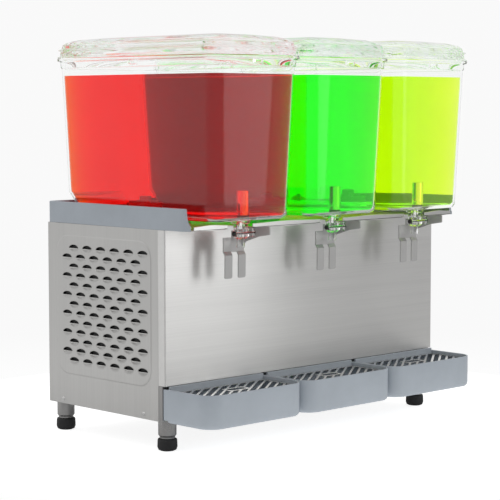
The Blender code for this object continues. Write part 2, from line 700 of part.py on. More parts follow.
def make_drip_tray(side, x):
    floor = TRAY_BOTTOM + TRAY_WALL
    rings = [
        ring(tray_outline(0.006), TRAY_BOTTOM, x),
        ring(tray_outline(0.0018), TRAY_BOTTOM + 0.002, x),
        ring(tray_outline(0.0), TRAY_BOTTOM + 0.006, x),
        ring(tray_outline(0.0), TRAY_TOP, x),
        ring(tray_outline(TRAY_WALL), TRAY_TOP, x),
        ring(tray_outline(TRAY_WALL), TRAY_LEDGE, x),
        ring(tray_outline(TRAY_WALL + 0.003), TRAY_LEDGE, x),
        ring(tray_outline(TRAY_WALL + 0.004), floor + 0.004, x),
        ring(tray_outline(TRAY_WALL + 0.008), floor, x),
    ]
    strip = box(
        (x - TRAY_HALF_X + 0.010, TRAY_BACK - TRAY_WALL, TRAY_TOP - 0.006),
        (x + TRAY_HALF_X - 0.010, TRAY_BACK, TRAY_STRIP_TOP),
    )
    hook_back = BODY_FRONT + LOWER_RECESS - 0.0008
    hook_gap = GAP / math.cos(math.radians(30)) + 0.0001
    hook_front_z = RAIL_TOP + hook_gap
    section = (
        (TRAY_BACK - 0.001, RAIL_TOP + 0.006), (TRAY_BACK - 0.001, hook_front_z),
        (RAIL_FRONT, hook_front_z), (hook_back, hook_front_z - (hook_back - RAIL_FRONT) * HOOK_SLOPE),
        (hook_back, RAIL_TOP + 0.006),
    )
    hook = prism(section, x - 0.065, x + 0.065, "X")
    tray = joined(loft(rings), strip, hook)
    return add_part(f"drip_tray_{side}", tray, "grey_plastic", (x, TRAY_BACK, RAIL_TOP))


def ring_points(outline, x):
    return [(x + a, b) for a, b in outline]


def make_drip_grid(side, x):
    """Perforated sheet: slanting slots inside a plain border, and a finger slot with its own rim."""
    low = GRID_TOP - GRID_SHEET
    edge = TRAY_WALL + 2 * GAP
    plate = prism(ring_points(tray_outline(edge), x), low, GRID_TOP)
    strips = []
    along = Matrix.Rotation(SLOT_ANGLE, 4, "Z")
    middle = Vector((x, (TRAY_FRONT + TRAY_BACK) / 2, 0.0))
    for i in range(-8, 9):
        start = i * SLOT_PITCH - SLOT_WIDTH / 2
        strip = box((-0.2, start, low - 0.01), (0.2, start + SLOT_WIDTH, GRID_TOP + 0.01))
        bmesh.ops.transform(strip, verts=strip.verts, matrix=Matrix.Translation(middle) @ along)
        strips.append(strip)
    field = prism(ring_points(tray_outline(edge + GRID_BORDER), x), low - 0.005, GRID_TOP + 0.005)
    rim = box(
        (x - FINGER_HALF_X - 0.004, FINGER_Y - FINGER_HALF_Y - 0.004, 0.0),
        (x + FINGER_HALF_X + 0.004, FINGER_Y + FINGER_HALF_Y + 0.004, 1.0),
    )
    slots = cut(combined(together(strips), field, "INTERSECT"), rim)
    finger = box(
        (x - FINGER_HALF_X, FINGER_Y - FINGER_HALF_Y, 0.0),
        (x + FINGER_HALF_X, FINGER_Y + FINGER_HALF_Y, 1.0),
    )
    return add_part(f"drip_grid_{side}", cut(plate, slots, finger), "bright_steel", (x, FINGER_Y, low))


# ---- Inside the base, and the power inlet ----

def make_compressor():
    x, y = COMPRESSOR_PLACE
    rings = []
    profile = (
        (0.002, 0.050), (0.012, 0.060), (0.075, 0.062), (0.085, 0.058),
        (0.120, 0.054), (0.140, 0.040), (0.148, 0.015),
    )
    steps = 16
    for height, radius in profile:
        level = []
        for i in range(steps):
            angle = 2 * math.pi * i / steps
            across = COMPRESSOR_STRETCH * radius * math.cos(angle)
            level.append((x + across, y + radius * math.sin(angle), PAN_TOP + height))
        rings.append(level)
    feet = box((x - 0.080, y - 0.045, PAN_TOP), (x + 0.080, y + 0.045, PAN_TOP + 0.0035))
    pipe = turned(((0, 0.05), (0.004, 0.05), (0.004, 0.095), (0, 0.095)), (x, y, PAN_TOP + 0.10), 12, "X")
    return add_part("compressor", joined(loft(rings), feet, pipe), "black_enamel")


def make_condenser():
    """Fin block, its fins upright and open towards the fan."""
    low, high = CONDENSER_X
    fins = 14
    depth = 0.17
    pitch = depth / fins
    start = FAN_Y - depth / 2
    outline = [(high, start), (high, start + depth)]
    for i in reversed(range(fins)):
        y = start + i * pitch
        fin = y + pitch * FIN_SHARE
        root = low + FIN_DEPTH
        outline += [(low, y + pitch), (low, fin), (root, fin), (root, y)]
    outline.append((low, start))
    outline.append((low, start - 0.002))
    outline.append((high, start - 0.002))
    return add_part("condenser", prism(outline, PAN_TOP, PAN_TOP + 0.175), "aluminium")


def make_fan():
    centre = (FAN_X, FAN_Y, FAN_Z)
    motor = turned((
        (0, -0.075), (0.024, -0.075), (0.026, -0.072), (0.026, -0.027), (0.022, -0.024),
        (0.006, -0.024), (0.006, -0.016), (0.003, -0.016), (0.003, -0.004), (0, -0.004),
    ), centre, 14, "X")
    stand = box((FAN_X - 0.060, FAN_Y - 0.010, PAN_TOP), (FAN_X - 0.040, FAN_Y + 0.010, FAN_Z - 0.015))
    foot = box((FAN_X - 0.070, FAN_Y - 0.030, PAN_TOP), (FAN_X - 0.030, FAN_Y + 0.030, PAN_TOP + 0.003))
    add_part("fan_motor", joined(motor, stand, foot), "black_enamel")
    hub = turned((
        (0, 0.008), (0.015, 0.008), (0.018, 0.005), (0.018, -0.014),
        (0.0033, -0.014), (0.0033, -0.003), (0, -0.003),
    ), centre, 14, "X")
    fan = hub
    for i in range(FAN_BLADES):
        blade = box((-0.001, -0.020, 0.014), (0.001, 0.020, FAN_RADIUS))
        twist = Matrix.Rotation(math.radians(20), 4, "Z")
        turn = Matrix.Rotation(2 * math.pi * i / FAN_BLADES, 4, "X")
        bmesh.ops.transform(blade, verts=blade.verts, matrix=Matrix.Translation(centre) @ turn @ twist)
        fan = joined(fan, blade)
    return add_part("fan_blade", fan, "black_plastic", centre)


def make_power_module():
    """Snap-in module: a plug inlet below a rocker switch, in one black housing."""
    back = BODY_BACK + 0.0025
    low = INLET_Z - MODULE_HALF_Z
    high = INLET_Z + MODULE_HALF_Z
    edge = 0.003
    flange = box((INLET_X - MODULE_HALF_X, BODY_BACK + GAP, low), (INLET_X + MODULE_HALF_X, back, high))
    body = box(
        (INLET_X - MODULE_HALF_X + edge, BODY_BACK - 0.030, low + edge),
        (INLET_X + MODULE_HALF_X - edge, BODY_BACK + 0.001, high - edge),
    )
    socket_z = INLET_Z - 0.0125
    socket = box(
        (INLET_X - SOCKET_HALF_X, BODY_BACK - 0.016, socket_z - SOCKET_HALF_Z),
        (INLET_X + SOCKET_HALF_X, back + 0.01, socket_z + SOCKET_HALF_Z),
    )
    pocket = box(
        (INLET_X - ROCKER_HALF_X - 0.0005, BODY_BACK - 0.012, ROCKER_Z - ROCKER_HALF_Z - 0.0011),
        (INLET_X + ROCKER_HALF_X + 0.0005, back + 0.01, ROCKER_Z + ROCKER_HALF_Z + 0.0011),
    )
    module = cut(joined(flange, body), socket, pocket)
    for x, z in ((-0.006, -0.002), (0.006, -0.002), (0.0, 0.003)):
        pin_low = (INLET_X + x - 0.001, BODY_BACK - 0.017, socket_z + z - 0.002)
        pin_high = (INLET_X + x + 0.001, BODY_BACK - 0.0075, socket_z + z + 0.002)
        module = joined(module, box(pin_low, pin_high))
    add_part("power_inlet", module, "black_plastic")
    pivot = (INLET_X, BODY_BACK - 0.004, ROCKER_Z)
    half = ROCKER_HALF_Z
    section = []
    profile = (
        (-0.006, -0.0035), (-0.006, 0.0035), (0.0, half), (0.0058, half),
        (0.0050, 0.0), (0.0058, -half), (0.0, -half),
    )
    for y, z in profile:
        turned_y = y * math.cos(ROCKER_TILT) - z * math.sin(ROCKER_TILT)
        turned_z = y * math.sin(ROCKER_TILT) + z * math.cos(ROCKER_TILT)
        section.append((pivot[1] + turned_y, pivot[2] + turned_z))
    rocker = prism(section, INLET_X - ROCKER_HALF_X, INLET_X + ROCKER_HALF_X, "X")
    return add_part("power_switch", rocker, "black_plastic", pivot)


def main():
    for thing in list(bpy.data.objects):
        bpy.data.objects.remove(thing)
    make_base_pan()
    make_front_panel()
    make_side_panels()
    make_rear_panel()
    make_deck()
    make_deck_surround()
    make_legs()
    for side, x in BOWL_XS.items():
        make_bowl(side, x)
        make_lid(side, x)
        make_cooling(side, x)
        make_agitator(side, x)
        make_agitator_motor(side, x)
        make_valve_body(side, x)
        make_piston(side, x)
        make_lever(side, x)
        make_pivot_pin(side, x)
        tray_x = x / BOWL_PITCH * TRAY_PITCH
        make_drip_tray(side, tray_x)
        make_drip_grid(side, tray_x)
    make_compressor()
    make_condenser()
    make_fan()
    make_power_module()


main()
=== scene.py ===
"""Looks of the countertop drinks dispenser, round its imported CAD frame. Metres, +Z up, front towards -Y."""

import math

import bmesh
import bpy
from mathutils import Matrix, Vector


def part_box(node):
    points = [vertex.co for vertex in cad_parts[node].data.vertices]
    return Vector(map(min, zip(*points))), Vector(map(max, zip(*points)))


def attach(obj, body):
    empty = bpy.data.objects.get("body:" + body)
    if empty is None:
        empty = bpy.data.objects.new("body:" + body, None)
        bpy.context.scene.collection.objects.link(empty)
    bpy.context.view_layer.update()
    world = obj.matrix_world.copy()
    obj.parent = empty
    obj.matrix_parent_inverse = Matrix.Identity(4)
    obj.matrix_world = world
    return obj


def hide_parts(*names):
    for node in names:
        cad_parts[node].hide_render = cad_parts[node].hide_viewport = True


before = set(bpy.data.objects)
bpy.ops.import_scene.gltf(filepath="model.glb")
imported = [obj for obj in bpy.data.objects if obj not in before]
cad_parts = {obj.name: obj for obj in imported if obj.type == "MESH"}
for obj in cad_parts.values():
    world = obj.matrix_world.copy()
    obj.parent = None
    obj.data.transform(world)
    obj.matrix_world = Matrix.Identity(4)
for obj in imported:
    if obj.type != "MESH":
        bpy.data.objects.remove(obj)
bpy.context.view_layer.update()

SIDES = ("left", "centre", "right")
DRINKS = {"left": "red", "centre": "green", "right": "yellow"}
SHEET = 0.0012  # steel panels
GAP = 0.0003  # between pieces that touch


# ---- Places taken from the frame ----

def middle(node):
    low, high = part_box(node)
    return (low + high) / 2


def plan_centre(node):
    return (middle(node).x, middle(node).y, 0)


body_low, body_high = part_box("front_panel")
deck_low, deck_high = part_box("top_deck")
BODY_HALF = body_high.x
BODY_FRONT = body_low.y
BODY_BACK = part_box("rear_panel")[1].y
PANEL_BOTTOM = body_low.z
BODY_TOP = body_high.z
DECK_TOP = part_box("cooling_dome_left")[0].z - GAP


# ---- Camera, world and floor ----

CAMERA_PLACE = (-2.012, -2.023, 0.521)
CAMERA_TILT = math.radians(90 - 4.72)
CAMERA_TURN = math.radians(-44.27)
CAMERA_LENS = 124
LIGHT_BOUNCES = 64  # clear walls one behind another, and light led along their edges
WORLD_GREY = 0.8
WORLD_BASE = 0.50  # light from every side
WORLD_LOBES = (  # a direction, where light starts and ends to grow near it, and how much
    ((1, 1, 0), 0.2, 0.9, 0.40),
    ((0, 0, 1), 0.30, 0.9, 0.75),
    ((0, 0, -1), 0.35, 0.9, 0.12),
    ((-1, 1.1, 0), 0.70, 0.98, 0.22),
)
HORIZON = (-0.165, -0.130)  # heights of a direction between which the studio's white changes
STUDIO_WHITE = (1.0, 0.950)  # seen below and above the horizon
LAMP_PLACE = (0.62, -1.45, 0.56)
LAMP_SIZE = (0.8, 0.9)
LAMP_POWER = 2.1
FLOOR_RINGS = (0.15, 0.3, 0.45, 0.66)
FLOOR_GLOW = 0.85
FLOOR_EDGE_GLOW = 0.70
FLOOR_MIRRORED = 0.10  # share of the floor's glow that the steel mirrors


def make_camera():
    """The camera of the photo's view."""
    data = bpy.data.cameras.new("camera")
    data.lens = CAMERA_LENS
    data.sensor_width = 36
    data.clip_start = 0.05
    camera = bpy.data.objects.new("camera", data)
    camera.location = CAMERA_PLACE
    camera.rotation_euler = (CAMERA_TILT, 0, CAMERA_TURN)
    bpy.context.scene.collection.objects.link(camera)
    bpy.context.scene.camera = camera


def map_range(tree, source, start, end, low, high):
    """A node that turns start to end into low to high."""
    node = tree.nodes.new("ShaderNodeMapRange")
    for name, value in (("From Min", start), ("From Max", end), ("To Min", low), ("To Max", high)):
        node.inputs[name].default_value = value
    tree.links.new(source, node.inputs["Value"])
    return node


def reckon(tree, operation, first, second):
    """A maths node on two sockets, or on a number and a socket."""
    node = tree.nodes.new("ShaderNodeMath")
    node.operation = operation
    for socket, value in zip(node.inputs, (first, second)):
        if isinstance(value, float):
            socket.default_value = value
        else:
            tree.links.new(value, socket)
    return node.outputs[0]


def make_world():
    """A white studio: seen directly it is near white, and its light comes mostly from above and behind."""
    world = bpy.data.worlds.new("studio")
    world.use_nodes = True
    bpy.context.scene.world = world
    tree = world.node_tree
    tree.nodes.clear()
    direction = tree.nodes.new("ShaderNodeTexCoord").outputs["Generated"]

    def background(grey, strength):
        node = tree.nodes.new("ShaderNodeBackground")
        node.inputs["Color"].default_value = (grey, grey, grey, 1)
        tree.links.new(strength, node.inputs["Strength"])
        return node.outputs[0]

    light = WORLD_BASE
    for towards, start, end, amount in WORLD_LOBES:
        dot = tree.nodes.new("ShaderNodeVectorMath")
        dot.operation = "DOT_PRODUCT"
        dot.inputs[1].default_value = Vector(towards).normalized()
        tree.links.new(direction, dot.inputs[0])
        lobe = map_range(tree, dot.outputs["Value"], start, end, 0.0, amount)
        lobe.interpolation_type = "SMOOTHSTEP"
        light = reckon(tree, "ADD", light, lobe.outputs["Result"])
    parts = tree.nodes.new("ShaderNodeSeparateXYZ")
    tree.links.new(direction, parts.inputs[0])
    white = map_range(tree, parts.outputs["Z"], *HORIZON, *STUDIO_WHITE)
    path = tree.nodes.new("ShaderNodeLightPath")
    either = tree.nodes.new("ShaderNodeMixShader")
    output = tree.nodes.new("ShaderNodeOutputWorld")
    direct = reckon(tree, "MAXIMUM", path.outputs["Is Camera Ray"], path.outputs["Is Transmission Ray"])
    tree.links.new(direct, either.inputs["Fac"])
    tree.links.new(background(WORLD_GREY, light), either.inputs[1])
    tree.links.new(background(1.0, white.outputs["Result"]), either.inputs[2])
    tree.links.new(either.outputs[0], output.inputs["Surface"])


def make_lamp():
    """A soft box before the right half of the front. The steel mirrors it at the front's top left."""
    data = bpy.data.lights.new("soft_box", "AREA")
    data.shape = "RECTANGLE"
    data.size, data.size_y = LAMP_SIZE
    data.energy = LAMP_POWER
    lamp = bpy.data.objects.new("soft_box", data)
    lamp.location = LAMP_PLACE
    aim = Vector((-0.25, BODY_FRONT, 0.3)) - lamp.location
    lamp.rotation_euler = aim.to_track_quat("-Z", "Y").to_euler()
    bpy.context.scene.collection.objects.link(lamp)


def make_floor():
    """A round pale floor that fades into the studio's white."""
    steps = 64
    shape = bmesh.new()
    centre = shape.verts.new((0, 0, 0))
    rings = []
    for radius in FLOOR_RINGS:
        circle = arc(0, 0, radius, 0, 360, steps)[:-1]
        rings.append([shape.verts.new((x, y, 0)) for x, y in circle])
    for i in range(steps):
        shape.faces.new((centre, rings[0][i], rings[0][(i + 1) % steps]))
    for inner, outer in zip(rings, rings[1:]):
        bridge(shape, outer, inner)
    mesh = bpy.data.meshes.new("floor")
    shape.to_mesh(mesh)
    shape.free()
    floor = bpy.data.objects.new("floor", mesh)
    bpy.context.scene.collection.objects.link(floor)
    graph = Graph("pale_floor")
    graph.set(Roughness=0.9, Base_Color=(0.50, 0.50, 0.50, 1), Emission_Color=(1, 1, 1, 1))
    distance = graph.nodes.new("ShaderNodeVectorMath")
    distance.operation = "LENGTH"
    graph.links.new(graph.nodes.new("ShaderNodeTexCoord").outputs["Object"], distance.inputs[0])
    glow = graph.spread(distance.outputs["Value"], FLOOR_GLOW, FLOOR_EDGE_GLOW, 0.50, FLOOR_RINGS[-1])
    path = graph.nodes.new("ShaderNodeLightPath")
    mirrored = graph.spread(path.outputs["Is Glossy Ray"], 1.0, FLOOR_MIRRORED, 0.0, 1.0)
    graph.feed("Emission Strength", reckon(graph, "MULTIPLY", glow, mirrored))
    mesh.materials.append(graph.material)


# ---- Materials ----

class Graph:
    """A Principled material and short ways to wire its nodes."""

    def __init__(self, name):
        self.material = bpy.data.materials.new(name)
        self.material.use_nodes = True
        self.nodes = self.material.node_tree.nodes
        self.links = self.material.node_tree.links
        self.shader = self.nodes["Principled BSDF"]
        self.output = self.nodes["Material Output"]

    def set(self, **values):
        for name, value in values.items():
            self.shader.inputs[name.replace("_", " ")].default_value = value

    def noise(self, scale, stretch=(1, 1, 1), detail=3.0, roughness=0.5):
        """Noise fixed to the object, stretched along its axes."""
        place = self.nodes.new("ShaderNodeTexCoord")
        mapping = self.nodes.new("ShaderNodeMapping")
        mapping.inputs["Scale"].default_value = stretch
        texture = self.nodes.new("ShaderNodeTexNoise")
        texture.inputs["Scale"].default_value = scale
        texture.inputs["Detail"].default_value = detail
        texture.inputs["Roughness"].default_value = roughness
        self.links.new(place.outputs["Object"], mapping.inputs["Vector"])
        self.links.new(mapping.outputs["Vector"], texture.inputs["Vector"])
        return texture.outputs["Fac"]

    def spread(self, source, low, high, start=0.3, end=0.7):
        return map_range(self, source, start, end, low, high).outputs["Result"]

    def colour(self, source, first, second):
        """The surface's colour, between two as the source goes from low to high."""
        node = self.nodes.new("ShaderNodeMix")
        node.data_type = "RGBA"
        self.links.new(self.spread(source, 0, 1), node.inputs["Factor"])
        node.inputs[6].default_value = (*first, 1)
        node.inputs[7].default_value = (*second, 1)
        self.feed("Base Color", node.outputs[2])

    def clouded(self, source, colour, contrast):
        """A colour that the source makes a little darker and lighter."""
        self.colour(source, scaled(colour, 1 - contrast), scaled(colour, 1 + contrast))

    def average(self, first, second, share=0.5):
        node = self.nodes.new("ShaderNodeMix")
        node.inputs["Factor"].default_value = share
        self.links.new(first, node.inputs[2])
        self.links.new(second, node.inputs[3])
        return node.outputs[0]

    def feed(self, name, source):
        self.links.new(source, self.shader.inputs[name])

    def bump(self, source, strength, distance):
        node = self.nodes.new("ShaderNodeBump")
        node.inputs["Strength"].default_value = strength
        node.inputs["Distance"].default_value = distance
        self.links.new(source, node.inputs["Height"])
        self.feed("Normal", node.outputs["Normal"])


def scaled(colour, factor):
    return tuple(min(1.0, channel * factor) for channel in colour)


def brushed_steel(name, colour, roughness, grain, anisotropy=0.7, contrast=0.06):
    """Steel with a grain: fine streaks that are long along one axis and short along the others."""
    graph = Graph(name)
    graph.set(Metallic=1.0, Anisotropic=anisotropy)
    long, short = 5.0, 1100.0
    stretch = tuple(long if axis == grain else short for axis in "XYZ")
    streaks = graph.noise(1.0, stretch, detail=4.0, roughness=0.65)
    broad = graph.noise(1.0, tuple(value * 0.06 for value in stretch), detail=3.0)
    clouds = graph.noise(9.0, detail=2.0)
    pattern = graph.average(streaks, broad, 0.35)
    graph.clouded(pattern, colour, contrast)
    patches = graph.average(pattern, clouds, 0.4)
    graph.feed("Roughness", graph.spread(patches, roughness - 0.06, roughness + 0.06))
    graph.bump(streaks, 0.12, 0.0001)
    tangent = graph.nodes.new("ShaderNodeTangent")
    tangent.direction_type = "UV_MAP"
    tangent.uv_map = "grain"
    graph.links.new(tangent.outputs[0], graph.shader.inputs["Tangent"])
    return graph.material


def plain_metal(name, colour, roughness, grain_size=900.0, bump=0.05, contrast=0.04, metallic=1.0):
    """Polished, blasted or cast metal: a fine even grain and faint clouds."""
    graph = Graph(name)
    graph.set(Metallic=metallic)
    grain = graph.noise(grain_size, detail=3.0, roughness=0.6)
    clouds = graph.noise(25.0, detail=3.0)
    graph.clouded(graph.average(grain, clouds), colour, contrast)
    graph.feed("Roughness", graph.spread(clouds, roughness * 0.85, roughness * 1.15))
    graph.bump(grain, bump, 0.0002)
    return graph.material


def moulded(name, colour, roughness, grain_size=1400.0, bump=0.12, contrast=0.05, coat=0.0):
    """Moulded plastic, rubber or enamel: a fine pebbled surface with faint colour clouds."""
    graph = Graph(name)
    graph.set(Coat_Weight=coat, Coat_Roughness=0.15)
    pebbles = graph.noise(grain_size, detail=2.0, roughness=0.55)
    clouds = graph.noise(18.0, detail=4.0, roughness=0.6)
    graph.clouded(clouds, colour, contrast)
    patches = graph.average(pebbles, clouds)
    graph.feed("Roughness", graph.spread(patches, roughness - 0.05, roughness + 0.05))
    graph.bump(pebbles, bump, 0.0002)
    return graph.material


def clear_plastic():
    """Clear moulded plastic: smooth, with the faint flow lines of its moulding."""
    graph = Graph("clear_plastic")
    graph.set(Transmission_Weight=1.0, IOR=1.32, Roughness=0.0)
    graph.colour(graph.noise(6.0, (1, 1, 3), detail=1.5), (0.975, 0.985, 0.98), (0.995, 1.0, 0.998))
    return graph.material


def drink(name, tint, absorbed, glow):
    """A clear drink. What it takes off each colour is given per metre. Its faint own colour is painted light:
    a glow, though the drink is no lamp.
    """
    graph = Graph(name)
    graph.set(Transmission_Weight=0.98, IOR=1.10, Roughness=0.0)
    # painted light: a faint glow in the drink's colour, though it is no lamp
    graph.set(Emission_Color=(*glow, 1), Emission_Strength=DRINK_PAINTED_GLOW)
    graph.colour(graph.noise(14.0, (1, 1, 0.35), detail=3.0), scaled(tint, 0.94), tint)
    density = max(absorbed)
    volume = graph.nodes.new("ShaderNodeVolumeAbsorption")
    volume.inputs["Color"].default_value = (*(1 - value / density for value in absorbed), 1)
    volume.inputs["Density"].default_value = density
    graph.links.new(volume.outputs["Volume"], graph.output.inputs["Volume"])
    return graph.material


# strength of the drinks' painted glow
DRINK_PAINTED_GLOW = 0.052


def make_materials():
    materials = {
        "panel_front": brushed_steel("panel_front", (0.90, 0.895, 0.88), 0.33, "X", 0.75),
        # the front's steel made darker: painted shade for the sides, which face away from the light
        "panel_side_painted_shade": brushed_steel("panel_side_painted_shade", (0.72, 0.715, 0.70), 0.34, "Z", 0.6),
        "deck": brushed_steel("deck", (0.78, 0.775, 0.76), 0.22, "X", 0.4, contrast=0.03),
        "grid": plain_metal("grid", (0.80, 0.79, 0.77), 0.20),
        "lever": plain_metal("lever", (0.54, 0.535, 0.53), 0.45, 2200.0, 0.3, 0.07, metallic=0.5),
        "bright": plain_metal("bright", (0.84, 0.84, 0.83), 0.08, bump=0.02),
        "leg": plain_metal("leg", (0.44, 0.435, 0.43), 0.30),
        "grey": moulded("grey_plastic", (0.385, 0.425, 0.470), 0.45),
        # the trays' grey plastic made lighter: painted light for the surround's sides, which face away from
        # the light
        "surround": moulded("surround_grey_painted_light", (0.455, 0.500, 0.550), 0.45),
        "rubber": moulded("rubber", (0.012, 0.012, 0.013), 0.6, bump=0.25, contrast=0.3),
        "white": moulded("white_plastic", (0.80, 0.80, 0.78), 0.35),
        "black": moulded("black_plastic", (0.02, 0.02, 0.021), 0.4, contrast=0.2),
        "enamel": moulded("black_enamel", (0.03, 0.03, 0.033), 0.3, 300.0, contrast=0.2, coat=0.6),
        "aluminium": plain_metal("aluminium", (0.80, 0.81, 0.82), 0.35, grain_size=500.0),
        "silicone": moulded("silicone", (0.70, 0.70, 0.67), 0.55),
        "clear": clear_plastic(),
        # the last colour of each drink is the colour of its painted glow
        "red": drink("red_drink", (1.0, 0.35, 0.30), (0.5, 38.0, 150.0), (1.0, 0.05, 0.05)),
        "green": drink("green_drink", (0.30, 1.0, 0.25), (20.0, 0.1, 60.0), (0.05, 1.0, 0.04)),
        "yellow": drink("yellow_drink", (0.92, 1.0, 0.30), (2.2, 0.1, 40.0), (0.62, 1.0, 0.03)),
    }
    materials["rear"] = materials["leg"]
    return materials


# ---- Mesh helpers ----

def bridge(shape, lower, upper):
    """Faces between two rings of equally many vertices."""
    for i in range(len(lower)):
        j = (i + 1) % len(lower)
        shape.faces.new((lower[i], lower[j], upper[j], upper[i]))


def loft(rings, closed=False):
    """A closed body through rings of equally many points, capped at both ends or closed into a loop."""
    shape = bmesh.new()
    loops = [[shape.verts.new(point) for point in ring] for ring in rings]
    for lower, upper in zip(loops, loops[1:]):
        bridge(shape, lower, upper)
    if closed:
        bridge(shape, loops[-1], loops[0])
    else:
        shape.faces.new(loops[0][::-1])
        shape.faces.new(loops[-1])
    bmesh.ops.recalc_face_normals(shape, faces=shape.faces)
    return shape


def box(low, high):
    return prism(rectangle(low[0], low[1], high[0], high[1]), low[2], high[2])


def rectangle(left, low, right, high):
    return [(left, low), (right, low), (right, high), (left, high)]


def prism(outline, low, high, axis="Z"):
    """An outline pushed along an axis. Its points are (x, y) along Z, (y, z) along X and (x, z) along Y."""
    place = {
        "Z": lambda a, b, depth: (a, b, depth),
        "X": lambda a, b, depth: (depth, a, b),
        "Y": lambda a, b, depth: (a, depth, b),
    }[axis]
    return loft([[place(a, b, depth) for a, b in outline] for depth in (low, high)])


def arc(x, y, radius, start, end, steps):
    """Points along an arc, its ends given in degrees."""
    points = []
    for i in range(steps + 1):
        angle = math.radians(start + (end - start) * i / steps)
        points.append((x + radius * math.cos(angle), y + radius * math.sin(angle)))
    return points


def rounded(points, radius, steps=3, closed=False):
    """The same path with its corners turned into short curves."""
    result = []
    count = len(points)
    for i, point in enumerate(points):
        here = Vector(point)
        if not closed and i in (0, count - 1):
            result.append(tuple(here))
            continue
        before = Vector(points[i - 1]) - here
        after = Vector(points[(i + 1) % count]) - here
        half = before.angle(after) / 2
        if half > math.radians(86):
            result.append(tuple(here))
            continue
        reach = min(radius / math.tan(half), before.length * 0.48, after.length * 0.48)
        start = here + before.normalized() * reach
        end = here + after.normalized() * reach
        for k in range(steps + 1):
            t = k / steps
            result.append(tuple(start * (1 - t) ** 2 + here * 2 * t * (1 - t) + end * t * t))
    return result


def turned(profile, centre, steps=48, axis="Z", closed=False, edge=0.0):
    """A profile of (radius, height) points spun about an axis through the centre, its corners rounded."""
    if edge:
        profile = rounded(profile, edge, 3, closed)
    shape = bmesh.new()
    loops = []
    for radius, height in profile:
        circle = [(0, 0)] if radius == 0 else arc(0, 0, radius, 0, 360, steps)[:-1]
        loops.append([shape.verts.new((a, b, height)) for a, b in circle])
    pairs = list(zip(loops, loops[1:]))
    if closed:
        pairs.append((loops[-1], loops[0]))
    for lower, upper in pairs:
        if len(lower) == len(upper):
            bridge(shape, lower, upper)
            continue
        for i in range(steps):
            j = (i + 1) % steps
            if len(lower) == 1:
                shape.faces.new((lower[0], upper[j], upper[i]))
            else:
                shape.faces.new((lower[i], lower[j], upper[0]))
    bmesh.ops.transform(shape, verts=shape.verts, matrix=Matrix.Translation(centre) @ facing(axis))
    bmesh.ops.recalc_face_normals(shape, faces=shape.faces)
    return shape


def facing(axis, sign=1):
    """The turn that takes +Z to an axis, or with sign -1 to its opposite."""
    return {
        "X": Matrix.Rotation(math.radians(90 * sign), 4, "Y"),
        "Y": Matrix.Rotation(math.radians(-90 * sign), 4, "X"),
        "Z": Matrix.Identity(4),
    }[axis]


def rod(radius, low, high, centre, steps=48, axis="Z"):
    """A plain round cutter."""
    return turned(((0, low), (radius, low), (radius, high), (0, high)), centre, steps, axis)


def together(shapes):
    """Separate shapes in one bmesh, with no join between them."""
    whole = bmesh.new()
    for shape in shapes:
        mesh = bpy.data.meshes.new("piece")
        shape.to_mesh(mesh)
        shape.free()
        whole.from_mesh(mesh)
        bpy.data.meshes.remove(mesh)
    return whole


def combined(first, second, operation):
    """Two closed shapes after a Boolean: UNION, DIFFERENCE or INTERSECT."""
    helpers = []
    for shape in (first, second):
        mesh = bpy.data.meshes.new("helper")
        shape.to_mesh(mesh)
        shape.free()
        helper = bpy.data.objects.new("helper", mesh)
        bpy.context.scene.collection.objects.link(helper)
        helpers.append(helper)
    modifier = helpers[0].modifiers.new("Boolean", "BOOLEAN")
    modifier.operation = operation
    modifier.object = helpers[1]
    bpy.context.view_layer.update()
    evaluated = helpers[0].evaluated_get(bpy.context.evaluated_depsgraph_get())
    result = bmesh.new()
    result.from_mesh(evaluated.to_mesh())
    evaluated.to_mesh_clear()
    for helper in helpers:
        mesh = helper.data
        bpy.data.objects.remove(helper)
        bpy.data.meshes.remove(mesh)
    return result


def joined(*shapes):
    whole = shapes[0]
    for shape in shapes[1:]:
        whole = combined(whole, shape, "UNION")
    return whole


def cut(shape, *cutters):
    for cutter in cutters:
        shape = combined(shape, cutter, "DIFFERENCE")
    return shape


def rounded_rectangle(half_x, low_y, high_y, radius, steps=8):
    """Points anticlockwise round a rectangle with round corners, centred on x = 0."""
    points = []
    corners = (
        (half_x - radius, high_y - radius, 0),
        (-half_x + radius, high_y - radius, 90),
        (-half_x + radius, low_y + radius, 180),
        (half_x - radius, low_y + radius, 270),
    )
    for x, y, start in corners:
        points += arc(x, y, radius, start, start + 90, steps)
    return points


def at_height(outline, z, x=0.0):
    return [(x + a, b, z) for a, b in outline]


def lay_grain(mesh, across):
    """A UV map whose first direction runs along the axis given, or as near to it as each face allows."""
    layer = mesh.uv_layers.new(name="grain")
    order = {"X": (0, 1, 2), "Y": (1, 0, 2), "Z": (2, 0, 1)}[across]
    for face in mesh.polygons:
        normal = [abs(value) for value in face.normal]
        flat = normal.index(max(normal))
        first, second = [axis for axis in order if axis != flat]
        for loop in face.loop_indices:
            place = mesh.vertices[mesh.loops[loop].vertex_index].co
            layer.data[loop].uv = (place[first], place[second])


def soften(piece, width, segments=2, angle=40.0):
    """Rounds an object's edges."""
    bevel = piece.modifiers.new("edges", "BEVEL")
    bevel.width = width
    bevel.segments = segments
    bevel.limit_method = "ANGLE"
    bevel.angle_limit = math.radians(angle)
    bevel.harden_normals = True


def add(name, shape, material, body, node=None, sharp=35.0, edge=0.0, across=None):
    """A finished piece from a bmesh. It rides on a body, and may stand for a CAD node."""
    mesh = bpy.data.meshes.new(name)
    shape.to_mesh(mesh)
    shape.free()
    mesh.shade_smooth()
    mesh.set_sharp_from_angle(angle=math.radians(sharp))
    if across:
        lay_grain(mesh, across)
    mesh.materials.append(MATERIALS[material])
    piece = bpy.data.objects.new(name, mesh)
    bpy.context.scene.collection.objects.link(piece)
    if edge:
        soften(piece, edge)
    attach(piece, body)
    if node:
        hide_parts(node)
    return piece


